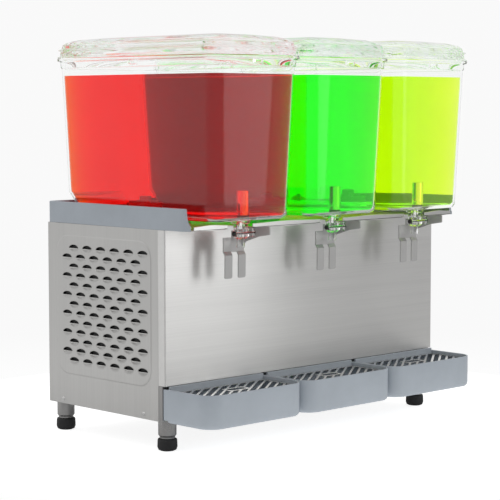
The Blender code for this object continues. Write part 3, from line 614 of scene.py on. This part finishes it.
def refinish(node, material, edge=0.0):
    """A CAD node that stays as it is, with a better material and soft edges."""
    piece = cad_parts[node]
    piece.data.materials.clear()
    piece.data.materials.append(MATERIALS[material])
    if edge:
        soften(piece, edge)


# ---- Casing ----

SCOOP_ROWS = 13
SCOOP_COLUMNS = 6
SCOOP_RISE = 0.015
SCOOP_PITCH = 0.0334
SCOOP_FIRST_Y = 0.050  # from the body's front
SCOOP_FIRST_Z = 0.072  # from the panel's lower edge
SCOOP_HALF = 0.0115
SCOOP_UP = 0.0055  # height of the opening above the lip
SCOOP_DOWN = 0.0074  # height of the hood below it
SCOOP_PROUD = 0.0042
SCOOP_RIM = 0.0012
FIELD_WIDTH = 0.231  # raised field of a side panel
FIELD_FROM_FRONT = 0.030
FIELD_FROM_BOTTOM = 0.049
FIELD_FROM_TOP = 0.018
FIELD_CORNER = 0.028
FIELD_RELIEF = 0.0010
FIELD_SLOPE = 0.0024
FLAT_STRIP = 0.0006  # beside a bend, so that the flat beyond it stays evenly shaded
PANEL_SCREWS = {"front": 0.050, "rear": 0.247}


def add_scoop(shape, y, z, level):
    """One louvre: a half-round opening above a pressed hood. Returns the edges of its flat rim."""
    steps = 14
    sines = [-math.cos(math.pi * i / steps) for i in range(steps + 1)]

    def half_ring(extra, depth):
        ring = []
        for sine in sines:
            height = depth * math.sqrt(max(0.0, 1 - sine * sine))
            ring.append(shape.verts.new((y + (SCOOP_HALF + extra) * sine, z + height, level)))
        return ring

    def whole_ring(extra):
        low = half_ring(extra, -SCOOP_DOWN - extra)
        high = half_ring(extra, SCOOP_UP + extra)
        for spare in (high[0], high[-1]):
            shape.verts.remove(spare)
        return low, low + high[-2:0:-1]

    lip, inner = whole_ring(0)
    outer = whole_ring(SCOOP_RIM)[1]
    bridge(shape, outer, inner)
    rows = [lip]
    levels = 6
    for k in range(levels - 1, -1, -1):
        down = k / levels
        row = [lip[0]]
        for sine in sines[1:-1]:
            side = 1 - sine ** 2
            height = z - SCOOP_DOWN * down * math.sqrt(side)
            rise = SCOOP_PROUD * side ** 0.75 * (1 - down) ** 2.4 * (1 + down)
            row.append(shape.verts.new((y + SCOOP_HALF * sine, height, level + rise)))
        row.append(lip[-1])
        rows.append(row)
    for lower, upper in zip(rows, rows[1:]):
        for i in range(steps):
            corners = (lower[i], lower[i + 1], upper[i + 1], upper[i])
            shape.faces.new(list(dict.fromkeys(corners)))
    return ring_edges(shape, outer)


def ring_edges(shape, loop):
    edges = []
    for i, vertex in enumerate(loop):
        pair = (vertex, loop[(i + 1) % len(loop)])
        edges.append(shape.edges.get(pair) or shape.edges.new(pair))
    return edges


def make_side_panel(node, sign):
    """A pressed panel: a raised field with a round-cornered edge, full of small scoops."""
    low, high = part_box(node)
    shape = bmesh.new()

    def edge_ring(inset):
        corners = rectangle(low.y + inset, low.z + inset, high.y - inset, high.z - inset)
        return [shape.verts.new((a, b, 0)) for a, b in corners]

    def field_ring(inset, level):
        outline = rounded_rectangle(
            FIELD_WIDTH / 2 - inset, low.z + FIELD_FROM_BOTTOM + inset, high.z - FIELD_FROM_TOP - inset,
            FIELD_CORNER - inset)
        centre = BODY_FRONT + FIELD_FROM_FRONT + FIELD_WIDTH / 2
        return [shape.verts.new((centre + a, b, level)) for a, b in outline]

    rim = edge_ring(FLAT_STRIP)
    bridge(shape, edge_ring(0), rim)
    rings = [field_ring(-FLAT_STRIP, 0)]
    for inset, rise in ((0, 0), (0.3, 0.15), (0.7, 0.85), (1, 1)):
        rings.append(field_ring(FIELD_SLOPE * inset, FIELD_RELIEF * rise))
    rings.append(field_ring(FIELD_SLOPE + FLAT_STRIP, FIELD_RELIEF))
    for outer, inner in zip(rings, rings[1:]):
        bridge(shape, outer, inner)
    border = ring_edges(shape, rim) + ring_edges(shape, rings[0])
    bmesh.ops.triangle_fill(shape, use_beauty=True, edges=border, normal=(0, 0, 1))
    field = ring_edges(shape, rings[-1])
    for row in range(SCOOP_ROWS):
        shift = (row % 2) * SCOOP_PITCH / 2
        for column in range(SCOOP_COLUMNS):
            y = BODY_FRONT + SCOOP_FIRST_Y + shift + column * SCOOP_PITCH
            z = low.z + SCOOP_FIRST_Z + row * SCOOP_RISE
            field += add_scoop(shape, y, z, FIELD_RELIEF)
    bmesh.ops.triangle_fill(shape, use_beauty=True, edges=field, normal=(0, 0, 1))
    outside = high.x if sign > 0 else low.x
    for vertex in shape.verts:
        a, b, level = vertex.co
        vertex.co = (outside + sign * level, a, b)
    bmesh.ops.recalc_face_normals(shape, faces=shape.faces)
    widest = max(shape.faces, key=lambda face: face.calc_area())
    if widest.normal.x * sign < 0:
        bmesh.ops.reverse_faces(shape, faces=shape.faces)
    # its steel is darker than the front's: painted shade
    piece = add(f"{node}_pressed", shape, "panel_side_painted_shade", "base", node, across="Y")
    sheet = piece.modifiers.new("sheet", "SOLIDIFY")
    sheet.thickness = SHEET
    sheet.offset = -1
    for end, from_front in PANEL_SCREWS.items():
        screw = screw_head((outside, BODY_FRONT + from_front, low.z + 0.0075), "X", sign)
        add(f"{node}_screw_{end}", screw, "bright", "base")


def make_shade_backing(side, sign):
    """Dark ribbed sheet behind the louvres: painted shade, a black sheet where the inside seen through them
    is only in shade.
    """
    outer = sign * (BODY_HALF - SHEET - 0.0012)
    ribs = 40
    thickness = 0.0035
    groove = 0.0012
    low_y = BODY_FRONT + 0.022
    high_y = BODY_BACK - 0.020
    points = [(low_y, -thickness), (high_y, -thickness)]
    for i in range(ribs, -1, -1):
        y = low_y + (high_y - low_y) * i / ribs
        points.append((y, -groove if i % 2 else 0.0))
    outline = [(outer + sign * depth, y) for y, depth in points]
    add(f"{side}_shade_backing", prism(outline, PANEL_BOTTOM + 0.012, BODY_TOP - 0.012), "black", "base")


def screw_head(place, axis, sign):
    """A low pan head with a cross recess, standing on a surface at the place."""
    radius = 0.0032
    foot = -0.0004
    profile = (
        (0, 0.0018), (radius * 0.55, 0.0016), (radius * 0.9, 0.0010), (radius, 0.0002),
        (radius, foot), (0, foot),
    )
    long, short = radius * 0.55, radius * 0.12
    recess = [box((-a, -b, 0.0009), (a, b, 0.003)) for a, b in ((long, short), (short, long))]
    head = cut(turned(profile, (0, 0, 0), 24, edge=0.0002), *recess)
    bmesh.ops.transform(head, verts=head.verts, matrix=Matrix.Translation(place) @ facing(axis, sign))
    return head


def make_front_panel():
    """One folded sheet: the front, a return round each side and a short return below."""
    back = body_high.y
    bend = 0.0022

    def path(half, front, radius):
        return rounded([(-half, back), (-half, front), (half, front), (half, back)], radius, 5)

    inner_half = BODY_HALF - SHEET
    inner_front = BODY_FRONT + SHEET
    outline = path(BODY_HALF, BODY_FRONT, bend)[::-1] + path(inner_half, inner_front, bend - SHEET)
    wall = prism(outline, PANEL_BOTTOM, BODY_TOP)
    overlap = 0.0004
    lower = box(
        (-inner_half - overlap, inner_front - overlap, PANEL_BOTTOM),
        (inner_half + overlap, BODY_FRONT + 0.0057, PANEL_BOTTOM + SHEET))
    add("front_panel_folded", joined(wall, lower), "panel_front", "base", "front_panel", across="Z")


SURROUND_WALL = 0.005
SURROUND_CORNER = 0.025
TURN_Y = deck_low.y + 0.0185  # where the surround's sides start to turn in
NOTCH_HALF = 0.0265  # round each tap, in the deck's front edge
NOTCH_BACK = BODY_FRONT - 0.006
CUT_LOW = 0.3  # cutters reach from here
CUT_HIGH = 0.4  # to here


def make_deck():
    """Bright deck under the bowls, with a front edge that swells a little between the taps."""
    low, high = deck_low, deck_high
    corner = SURROUND_CORNER - SURROUND_WALL - GAP
    right = arc(high.x - corner, TURN_Y, corner, 0, -45, 8)
    front_corner = high.x - corner + (corner - 0.001) * math.cos(math.radians(45)) - 0.001
    right.append((front_corner, low.y))
    left = [(-x, y) for x, y in right]
    plate = prism([(high.x, high.y), (-high.x, high.y)] + left + right[::-1], low.z, DECK_TOP)
    edges = [-front_corner]
    for side in SIDES:
        x = middle(f"bowl_{side}").x
        start, end = x - NOTCH_HALF, x + NOTCH_HALF
        edges += [start, end]
        notch = rounded([(start, -1), (start, NOTCH_BACK), (end, NOTCH_BACK), (end, -1)], 0.004, 4)
        hole = rod(0.028, CUT_LOW, CUT_HIGH, plan_centre(f"cooling_dome_{side}"))
        plate = cut(plate, prism(notch, CUT_LOW, CUT_HIGH), hole)
    edges.append(front_corner)
    bays = []
    steps = 20
    drop = 0.0016
    for start, end in zip(edges[::2], edges[1::2]):
        upper, lower = [], []
        for i in range(steps + 1):
            t = i / steps
            x = start + (end - start) * t
            upper.append((x, high.z - drop + drop * math.sin(math.pi * t) ** 2))
            lower.append((x, low.z - 0.0004 + 0.0006 * math.cos(2 * math.pi * t)))
        bays.append(prism(lower + upper[::-1], low.y, low.y + 0.0014, "Y"))
    add("top_deck_folded", together([plate] + bays), "deck", "base", "top_deck", edge=0.0003, across="Y")


def make_surround():
    """Plastic wall round three sides of the deck. Its front ends turn inwards and sweep down."""
    low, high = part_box("deck_surround")
    sweep_top = TURN_Y - 0.0090
    sweep_low = TURN_Y - 0.0172
    drop = 0.028

    def path(offset):
        half = high.x - offset
        back = high.y - offset
        bend = 0.006 - offset * 0.8
        side = arc(high.x - SURROUND_CORNER, TURN_Y, SURROUND_CORNER - offset, -45, 0, 24)
        side += [(half, TURN_Y + (high.y - 0.010 - TURN_Y) * i / 10) for i in range(1, 10)]
        side += arc(half - bend, back - bend, bend, 0, 90, 6)
        return side + [(-x, y) for x, y in side[::-1]]

    def top_at(y):
        if y >= sweep_top:
            return high.z
        share = min(1.0, (sweep_top - y) / (sweep_top - sweep_low))
        return high.z - drop * math.sqrt(1 - (1 - share) ** 2)

    outer_round = arc(0.0016, -0.0016, 0.0016, 180, 90, 4)
    inner_round = arc(SURROUND_WALL - 0.0012, -0.0012, 0.0012, 90, 0, 4)
    rings = []
    for outer, inner in zip(path(0), path(SURROUND_WALL)):
        ring = [(*outer, low.z)]
        for depth, height in outer_round + inner_round:
            x, y = Vector(outer).lerp(Vector(inner), depth / SURROUND_WALL)
            ring.append((x, y, top_at(y) + height))
        ring.append((*inner, low.z))
        rings.append(ring)
    # its grey is lighter than the trays' grey: painted light
    add("deck_surround_moulded", loft(rings), "surround", "base", "deck_surround", sharp=50)


def make_legs():
    for end in ("front", "rear"):
        for side in ("left", "right"):
            leg = f"leg_{end}_{side}"
            foot = f"foot_{end}_{side}"
            low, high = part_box(leg)
            centre = plan_centre(leg)
            radius = (high.x - low.x) / 2
            neck = 0.0118
            profile = (
                (0, low.z), (neck, low.z), (neck, low.z + 0.0022), (radius - 0.0012, low.z + 0.0042),
                (radius, low.z + 0.0056), (radius, high.z), (0, high.z),
            )
            add(f"{leg}_turned", turned(profile, centre, 56, edge=0.0006), "leg", "base", leg)
            low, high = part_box(foot)
            radius = (high.x - low.x) / 2
            profile = (
                (0, low.z), (radius - 0.0050, low.z), (radius - 0.0016, low.z + 0.0016),
                (radius, low.z + 0.0060), (radius - 0.0004, high.z - 0.0020), (radius - 0.0012, high.z),
                (0, high.z),
            )
            add(f"{foot}_moulded", turned(profile, centre, 56, edge=0.0012), "rubber", "base", foot)


# ---- Bowls, lids and drinks ----

BOWL_WALL = 0.003
BOWL_HALF_X = 0.0823  # at the bottom
BOWL_HALF_Y = 0.1784
BOWL_DRAFT = 0.008 / 0.220
BOWL_CORNER = 0.024
BOWL_FILLET = 0.008
BOWL_CHAMFER = 0.034  # slope at the rear of the floor
BOWL_HOLE = 0.0538  # over the cooling dome
RIM_THICK = 0.0048
BAND = 0.0016  # by how much the wall is thicker below the rim
DRINK_LEVEL = 0.572
DRINK_GAP = 0.0004
DOME_RADIUS = 0.050


def bowl_outline(base, z, inset=0.0):
    grown = BOWL_DRAFT * (z - base)
    half_x = BOWL_HALF_X + grown - inset
    half_y = BOWL_HALF_Y + grown - inset
    slope = max(0.0, base + BOWL_CHAMFER - z)
    return rounded_rectangle(half_x, -half_y, half_y - slope, BOWL_CORNER - inset, 10)


def bowl_levels(base, top, inset, steps=5):
    """Heights and insets up one side of the wall, from the floor's edge to the top."""
    floor = base + inset
    levels = arc(floor + BOWL_FILLET, inset + BOWL_FILLET, BOWL_FILLET, 180, 270, steps)
    chamfer_top = base + BOWL_CHAMFER + inset
    for z in (chamfer_top - 0.002, chamfer_top, chamfer_top + 0.002):
        levels.append((z, inset))
    for i in range(1, 5):
        levels.append((chamfer_top + (top - chamfer_top) * i / 4, inset))
    return levels


def make_bowl(side):
    node = f"bowl_{side}"
    low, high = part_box(node)
    x = middle(node).x
    base, top = low.z, high.z
    rim_x = (high.x - low.x) / 2
    rim_y = high.y

    def wall(inset, z, z_for_size):
        return at_height(bowl_outline(base, z_for_size, inset), z, x)

    def rim(inset, z):
        outline = rounded_rectangle(
            rim_x - inset, -rim_y + inset, rim_y - inset, BOWL_CORNER + 0.006 - inset, 10)
        return at_height(outline, z, x)

    rings = [wall(inset, z, z) for z, inset in bowl_levels(base, top - 0.0165, 0.0)]
    rings.append(wall(-BAND * 0.5, top - 0.0158, top - 0.0150))
    rings.append(wall(-BAND, top - 0.0145, top - 0.0150))
    rings.append(wall(-BAND, top - 0.0062, top - 0.0055))
    edge = 0.0008
    rim_low = top - RIM_THICK
    rings += [rim(0.0022, rim_low - 0.0002), rim(edge, rim_low), rim(0.0, rim_low + edge)]
    rings += [rim(0.0, top - edge), rim(edge, top)]
    rings += [wall(inset, z, z) for z, inset in bowl_levels(base, top, BOWL_WALL)[::-1]]
    dome_hole = rod(BOWL_HOLE, CUT_LOW, CUT_HIGH, plan_centre(f"cooling_dome_{side}"), 64)
    outlet = rod(0.0055, CUT_LOW, CUT_HIGH, plan_centre(f"piston_{side}"), 32)
    shell = cut(loft(rings), dome_hole, outlet)
    add(f"{node}_moulded", shell, "clear", f"bowl_{side}", node, sharp=45)
    long, short, half_height = 0.0085, 0.0042, 0.0026
    z = top - 0.0085
    for name, tab_x, tab_y, half_x, half_y in (
        ("front", x, -rim_y + 0.0100, long, short),
        ("left", x - rim_x + 0.0110, 0.0, short, long),
    ):
        outline = rounded_rectangle(half_x, tab_y - half_y, tab_y + half_y, 0.0015, 3)
        tab = prism([(tab_x + a, b) for a, b in outline], z - half_height, z + half_height)
        add(f"{node}_{name}_tab", tab, "clear", f"bowl_{side}", edge=0.0004)


def make_drink(side):
    """The drink in a bowl: it fills the inside up to its level, and stands clear of the cooling dome."""
    node = f"bowl_{side}"
    x = middle(node).x
    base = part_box(node)[0].z
    inset = BOWL_WALL + DRINK_GAP
    edge = 0.0006
    rings = []
    for z, depth in bowl_levels(base, DRINK_LEVEL - edge, inset):
        rings.append(at_height(bowl_outline(base, z, depth), z, x))
    rings.append(at_height(bowl_outline(base, DRINK_LEVEL, inset + edge), DRINK_LEVEL, x))
    ledge = base + BOWL_WALL + 0.0006
    dome_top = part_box(f"agitator_{side}")[0].z - 0.0004
    radius = DOME_RADIUS + 0.0008
    recess = turned(
        ((0, CUT_LOW), (0.0545, CUT_LOW), (0.0545, ledge), (radius, ledge), (radius, dome_top - 0.004),
         (radius - 0.0055, dome_top), (0, dome_top)),
        plan_centre(f"cooling_dome_{side}"), 64)
    colour = DRINKS[side]
    add(f"drink_{colour}", cut(loft(rings), recess), colour, f"bowl_{side}", sharp=45)


def make_lid(side):
    """Clear lid: a flat edge, a neck with a ledge, a round shoulder and a gently domed top, hollow below."""
    node = f"lid_{side}"
    low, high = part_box(node)
    x = middle(node).x
    half_x = (high.x - low.x) / 2
    half_y = high.y
    height = high.z - low.z
    wall = 0.0024
    crown = 0.0600  # inset where the domed top starts
    outside = [
        (0.0012, 0.0), (0.0012, 0.0012), (0.0046, 0.0024), (0.0054, 0.0104), (0.0030, 0.0116),
        (0.0028, 0.0132), (0.0068, 0.0142), (0.0084, 0.0205), (0.0140, 0.0246), (0.0300, 0.0287),
        (crown, height),
    ]
    inside = [
        (crown, height - wall), (0.0305, 0.0287 - wall), (0.0152, 0.0246 - wall), (0.0108, 0.0195),
        (0.0094, 0.0),
    ]

    def ring(inset, rise):
        corner = max(0.031 - inset / 2, 0.012)
        outline = rounded_rectangle(half_x - inset, -half_y + inset, half_y - inset, corner, 10)
        return at_height(outline, low.z + rise, x)

    path = rounded(inside, 0.003, 4)[::-1] + rounded(outside, 0.0009, 3)
    rings = [ring(inset, rise) for inset, rise in path]
    add(f"{node}_moulded", loft(rings), "clear", f"lid_{side}", node, sharp=45)


def make_cooling(side):
    """Cooling dome with a flange, open below, and the gasket round it that the bowl stands on."""
    dome = f"cooling_dome_{side}"
    gasket = f"bowl_gasket_{side}"
    low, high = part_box(dome)
    centre = plan_centre(dome)
    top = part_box(f"agitator_{side}")[0].z - 0.0006
    flange = (high.x - low.x) / 2
    flange_top = low.z + 0.003
    radius = DOME_RADIUS
    wall = 0.0015
    shaft = 0.003
    profile = (
        (0, high.z), (shaft, high.z), (shaft, top), (radius - 0.006, top), (radius, top - 0.005),
        (radius, flange_top), (flange, flange_top), (flange, low.z), (radius - wall, low.z),
        (radius - wall, top - 0.0056), (radius - 0.0066, top - wall), (0, top - wall),
    )
    add(f"{dome}_pressed", turned(profile, centre, 72, edge=0.0012), "bright", "base", dome)
    low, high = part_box(gasket)
    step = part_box(f"bowl_{side}")[0].z - GAP
    collar = BOWL_HOLE - GAP
    profile = (
        (radius + GAP, low.z), (flange, low.z), (flange, step), (collar, step),
        (collar, high.z), (radius + GAP, high.z),
    )
    shape = turned(profile, centre, 72, closed=True, edge=0.0006)
    add(f"{gasket}_moulded", shape, "silicone", "base", gasket)


def make_agitator(side):
    """Paddle ring on three arms round a capped hub."""
    node = f"agitator_{side}"
    low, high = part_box(node)
    centre = plan_centre(f"cooling_dome_{side}")
    bore = 0.0033
    bore_top = low.z + 0.0114
    hub = turned((
        (0, high.z), (0.009, high.z), (0.0105, high.z - 0.0015), (0.0105, low.z), (bore, low.z),
        (bore, bore_top), (0, bore_top),
    ), centre, 40, edge=0.0008)
    outer, inner = 0.030, 0.026
    hoop = turned(
        [(radius, low.z + rise) for radius, rise in ((inner, 0), (outer, 0), (outer, 0.007), (inner, 0.007))],
        centre, 60, closed=True, edge=0.0008)
    whole = joined(hub, hoop)
    for i in range(3):
        arm = box((0.008, -0.0015, low.z + 0.0005), (outer - 0.001, 0.0015, low.z + 0.010))
        turn = Matrix.Rotation(2 * math.pi * i / 3, 4, "Z")
        bmesh.ops.transform(arm, verts=arm.verts, matrix=Matrix.Translation(centre) @ turn)
        whole = joined(whole, arm)
    add(f"{node}_moulded", whole, "white", f"agitator_{side}", node, edge=0.0003)


# ---- Taps ----

SHEET_BACK = -0.130  # rear face of the lever's plate
LEVER_SHEET = 0.002
PIN_HOLE = 0.0019


def make_tap(side):
    """Clear valve body and cross block, and the plunger, seal, lever and pin that it carries."""
    valve = f"valve_body_{side}"
    piston = f"piston_{side}"
    pin = f"pivot_pin_{side}"
    low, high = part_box(valve)
    x = middle(piston).x
    y = middle(piston).y
    pivot = Vector((x, middle(pin).y, middle(pin).z))
    bore = 0.0048
    body = turned((
        (bore, low.z), (0.0065, low.z), (0.0065, 0.323), (0.011, 0.325), (0.011, high.z - 0.0057),
        (0.0145, high.z - 0.0052), (0.0145, high.z), (bore, high.z),
    ), (x, y, 0), 56, closed=True, edge=0.0005)
    section = rectangle(pivot.y - 0.004, pivot.z - 0.006, pivot.y + 0.0035, pivot.z + 0.007)
    block = prism(rounded(section, 0.002, 4, closed=True), x - 0.0212, x + 0.0155, "X")
    hole = rod(PIN_HOLE, -0.03, 0.02, pivot, 24, "X")
    window = box((x - 0.0042, y, pivot.z - 0.0005), (x + 0.0042, y + 0.02, 0.3452))
    shape = cut(joined(body, block), hole, window)
    add(f"{valve}_moulded", shape, "clear", f"bowl_{side}", valve, sharp=40)
    low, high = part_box(piston)
    radius = (high.x - low.x) / 2
    stem = 0.003
    seal_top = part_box(f"piston_seal_{side}")[1].z + GAP
    profile = (
        (0, high.z), (radius, high.z), (radius, seal_top), (stem, seal_top), (stem, low.z), (0, low.z),
    )
    add(f"{piston}_turned", turned(profile, (x, y, 0), 56, edge=0.0010), "bright", piston, piston)
    refinish(f"piston_seal_{side}", "rubber")
    make_lever(side, pivot, y)
    low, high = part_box(pin)
    head = low.x - x
    tip = high.x - x
    profile = (
        (0, head), (0.0026, head), (0.0038, head + 0.0012), (0.0038, head + 0.004), (0.0015, head + 0.004),
        (0.0015, tip), (0, tip),
    )
    add(f"{pin}_turned", turned(profile, pivot, 32, "X", edge=0.0007), "black", f"bowl_{side}", pin)


def make_lever(side, pivot, tap_y):
    """Bent sheet: a plate behind the tap, an ear on the pin drawn out as a thumb tab, a tongue under the
    piston and two joggled prongs that a cup pushes back."""
    node = f"lever_{side}"
    low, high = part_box(node)
    x = pivot.x
    half = (high.x - low.x) / 2
    back = SHEET_BACK
    front = back - LEVER_SHEET
    tongue_half = 0.0035
    plate = box((x - half, front, 0.302), (x + half, back, 0.3245))
    neck = box((x - tongue_half, front, 0.3235), (x + tongue_half, back, 0.3345))
    tongue = box((x - tongue_half, tap_y - 0.001, 0.3327), (x + tongue_half, back, 0.3347))
    ear = rounded([
        (back, 0.312), (back, 0.3240), (-0.142, 0.3400), (low.y, 0.3425), (low.y, 0.3300),
        (-0.166, 0.3262), (front - 0.006, 0.3175), (front, 0.312),
    ], 0.0022, 4, closed=True)
    pieces = [plate, neck, tongue, prism(ear, x + half - LEVER_SHEET, x + half, "X")]
    prong = (
        (back, 0.303), (front, 0.303), (front - 0.004, 0.2975), (front - 0.0035, 0.265),
        (front - 0.0028, low.z), (back - 0.0030, low.z), (back - 0.0036, 0.265), (back - 0.004, 0.297),
    )
    width = 0.015
    for start in (x - half, x + half - width):
        end = start + width
        blade = prism(prong, start, end, "X")
        outline = rounded(
            [(start - 0.001, 0.31), (start - 0.0001, low.z), (end + 0.0001, low.z), (end + 0.001, 0.31)],
            0.0035, 5)
        pieces.append(combined(blade, prism(outline, back - 0.02, back + 0.01, "Y"), "INTERSECT"))
    lever = cut(joined(*pieces), rod(PIN_HOLE, -0.03, 0.03, pivot, 24, "X"))
    add(f"{node}_bent", lever, "lever", node, node, edge=0.00035)


# ---- Drip trays ----

TRAY_CORNER = 0.028
TRAY_WALL = 0.003
TRAY_DEPTH = 0.095


def tray_outline(low, high, inset):
    """Plan outline about the tray's middle: square rear corners and round front ones."""
    half = (high.x - low.x) / 2 - inset
    front = low.y + inset
    back = high.y - inset
    radius = TRAY_CORNER - inset
    points = [(half, back), (-half, back)]
    points += arc(radius - half, front + radius, radius, 180, 270, 12)
    points += arc(half - radius, front + radius, radius, 270, 360, 12)
    return points


def make_tray(side):
    """A round-cornered tray with a raised rear strip, and the hook and cheeks by which it hangs."""
    node = f"drip_tray_{side}"
    low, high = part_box(node)
    back = low.y + TRAY_DEPTH
    high = Vector((high.x, back, high.z))
    x = middle(node).x
    half = (high.x - low.x) / 2
    top = high.z - 0.004
    floor = low.z + TRAY_WALL
    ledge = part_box(f"drip_grid_{side}")[0].z - 0.0009
    profile = [(0.0075, low.z), (0.0035, low.z + 0.0006), (0.0012, low.z + 0.0026), (0.0, low.z + 0.0065)]
    profile += [(0.0, top - 0.0008), (0.0003, top - 0.0002), (0.0009, top), (TRAY_WALL - 0.0007, top)]
    profile += [(TRAY_WALL, top - 0.0006), (TRAY_WALL, ledge), (TRAY_WALL + 0.003, ledge)]
    profile += [(TRAY_WALL + 0.004, floor + 0.004), (TRAY_WALL + 0.008, floor)]
    body = loft([at_height(tray_outline(low, high, inset), z, x) for inset, z in profile])
    section = rounded(rectangle(back - TRAY_WALL, top - 0.006, back, high.z), 0.0010, 3, closed=True)
    strip = prism(section, x - half + 0.004, x + half - 0.004, "X")
    rail_top = 0.09
    under = rail_top - 0.00555
    hook_back = BODY_FRONT + 0.0052
    slope = math.tan(math.radians(30))
    section = (
        (back - 0.001, rail_top), (back - 0.001, under), (BODY_FRONT, under),
        (hook_back, under - (hook_back - BODY_FRONT) * slope), (hook_back, rail_top),
    )
    hook = prism(section, x - 0.065, x + 0.065, "X")
    cheeks = []
    for left in (x - half, x + half - TRAY_WALL):
        cheeks.append(box((left, back - 0.002, low.z + 0.0045), (left + TRAY_WALL, hook_back, top - 0.0006)))
    shape = joined(body, strip, hook, *cheeks)
    add(f"{node}_moulded", shape, "grey", f"tray_{side}", node, sharp=40)


SLOT_PITCH = 0.0117
SLOT_WIDTH = 0.008
SLOT_ANGLE = math.radians(37.3)
SLOTS_EACH_SIDE = 8  # of the middle slot
GRID_BORDER = 0.007
FINGER_Y = -0.142  # middle of the finger slot


def make_grid(side):
    """Perforated sheet: slanting slots inside a plain border, and a finger slot with its own rim."""
    node = f"drip_grid_{side}"
    low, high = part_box(node)
    x = middle(node).x
    y = middle(node).y

    def outline(inset):
        return [(x + a, b) for a, b in tray_outline(low, high, inset)]

    plate = prism(outline(0.0), low.z, high.z)
    along = Matrix.Translation((x, y, 0)) @ Matrix.Rotation(SLOT_ANGLE, 4, "Z")
    strips = []
    for i in range(-SLOTS_EACH_SIDE, SLOTS_EACH_SIDE + 1):
        start = i * SLOT_PITCH - SLOT_WIDTH / 2
        strip = box((-0.2, start, low.z - 0.01), (0.2, start + SLOT_WIDTH, high.z + 0.01))
        bmesh.ops.transform(strip, verts=strip.verts, matrix=along)
        strips.append(strip)
    field = prism(outline(GRID_BORDER), low.z - 0.005, high.z + 0.005)
    rim = box((x - 0.021, FINGER_Y - 0.011, 0.0), (x + 0.021, FINGER_Y + 0.011, 1.0))
    slots = cut(combined(together(strips), field, "INTERSECT"), rim)
    finger_outline = rounded_rectangle(0.017, FINGER_Y - 0.007, FINGER_Y + 0.007, 0.0065, 6)
    finger = prism([(x + a, b) for a, b in finger_outline], 0.0, 1.0)
    add(f"{node}_perforated", cut(plate, slots, finger), "grid", f"grid_{side}", node, edge=0.0003)


# ---- Pieces kept from the CAD model ----

KEPT = {  # CAD node: its material and how far its edges are rounded
    "base_pan": ("rear", 0.0004),
    "rear_panel": ("rear", 0.0003),
    "compressor": ("enamel", 0.0010),
    "condenser": ("aluminium", 0.0003),
    "fan_motor": ("enamel", 0.0006),
    "fan_blade": ("black", 0.0003),
    "power_inlet": ("black", 0.0005),
    "power_switch": ("black", 0.0005),
}
for side in SIDES:
    KEPT[f"agitator_motor_{side}"] = ("enamel", 0.0006)


def make_rear_screws():
    low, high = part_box("rear_panel")
    inset = 0.012
    for row, z in enumerate((low.z + inset, (low.z + high.z) / 2, high.z - inset), 1):
        for column, x in enumerate((low.x + inset, high.x - inset), 1):
            screw = screw_head((x, high.y, z), "Y", 1)
            add(f"rear_panel_screw_{row}_{column}", screw, "bright", "base")


# ---- The whole machine ----

make_camera()
MATERIALS = make_materials()
make_world()
make_lamp()
make_floor()
make_side_panel("left_side_panel", -1)
make_side_panel("right_side_panel", 1)
make_shade_backing("left", -1)
make_shade_backing("right", 1)
make_front_panel()
make_deck()
make_surround()
make_legs()
make_rear_screws()
for side in SIDES:
    make_bowl(side)
    make_drink(side)
    make_lid(side)
    make_cooling(side)
    make_agitator(side)
    make_tap(side)
    make_tray(side)
    make_grid(side)
for node, (material, edge) in KEPT.items():
    refinish(node, material, edge)

scene = bpy.context.scene
scene.view_settings.view_transform = "Standard"
scene.cycles.max_bounces = LIGHT_BOUNCES
scene.cycles.transmission_bounces = LIGHT_BOUNCES
scene.cycles.glossy_bounces = LIGHT_BOUNCES
scene.cycles.transparent_max_bounces = LIGHT_BOUNCES
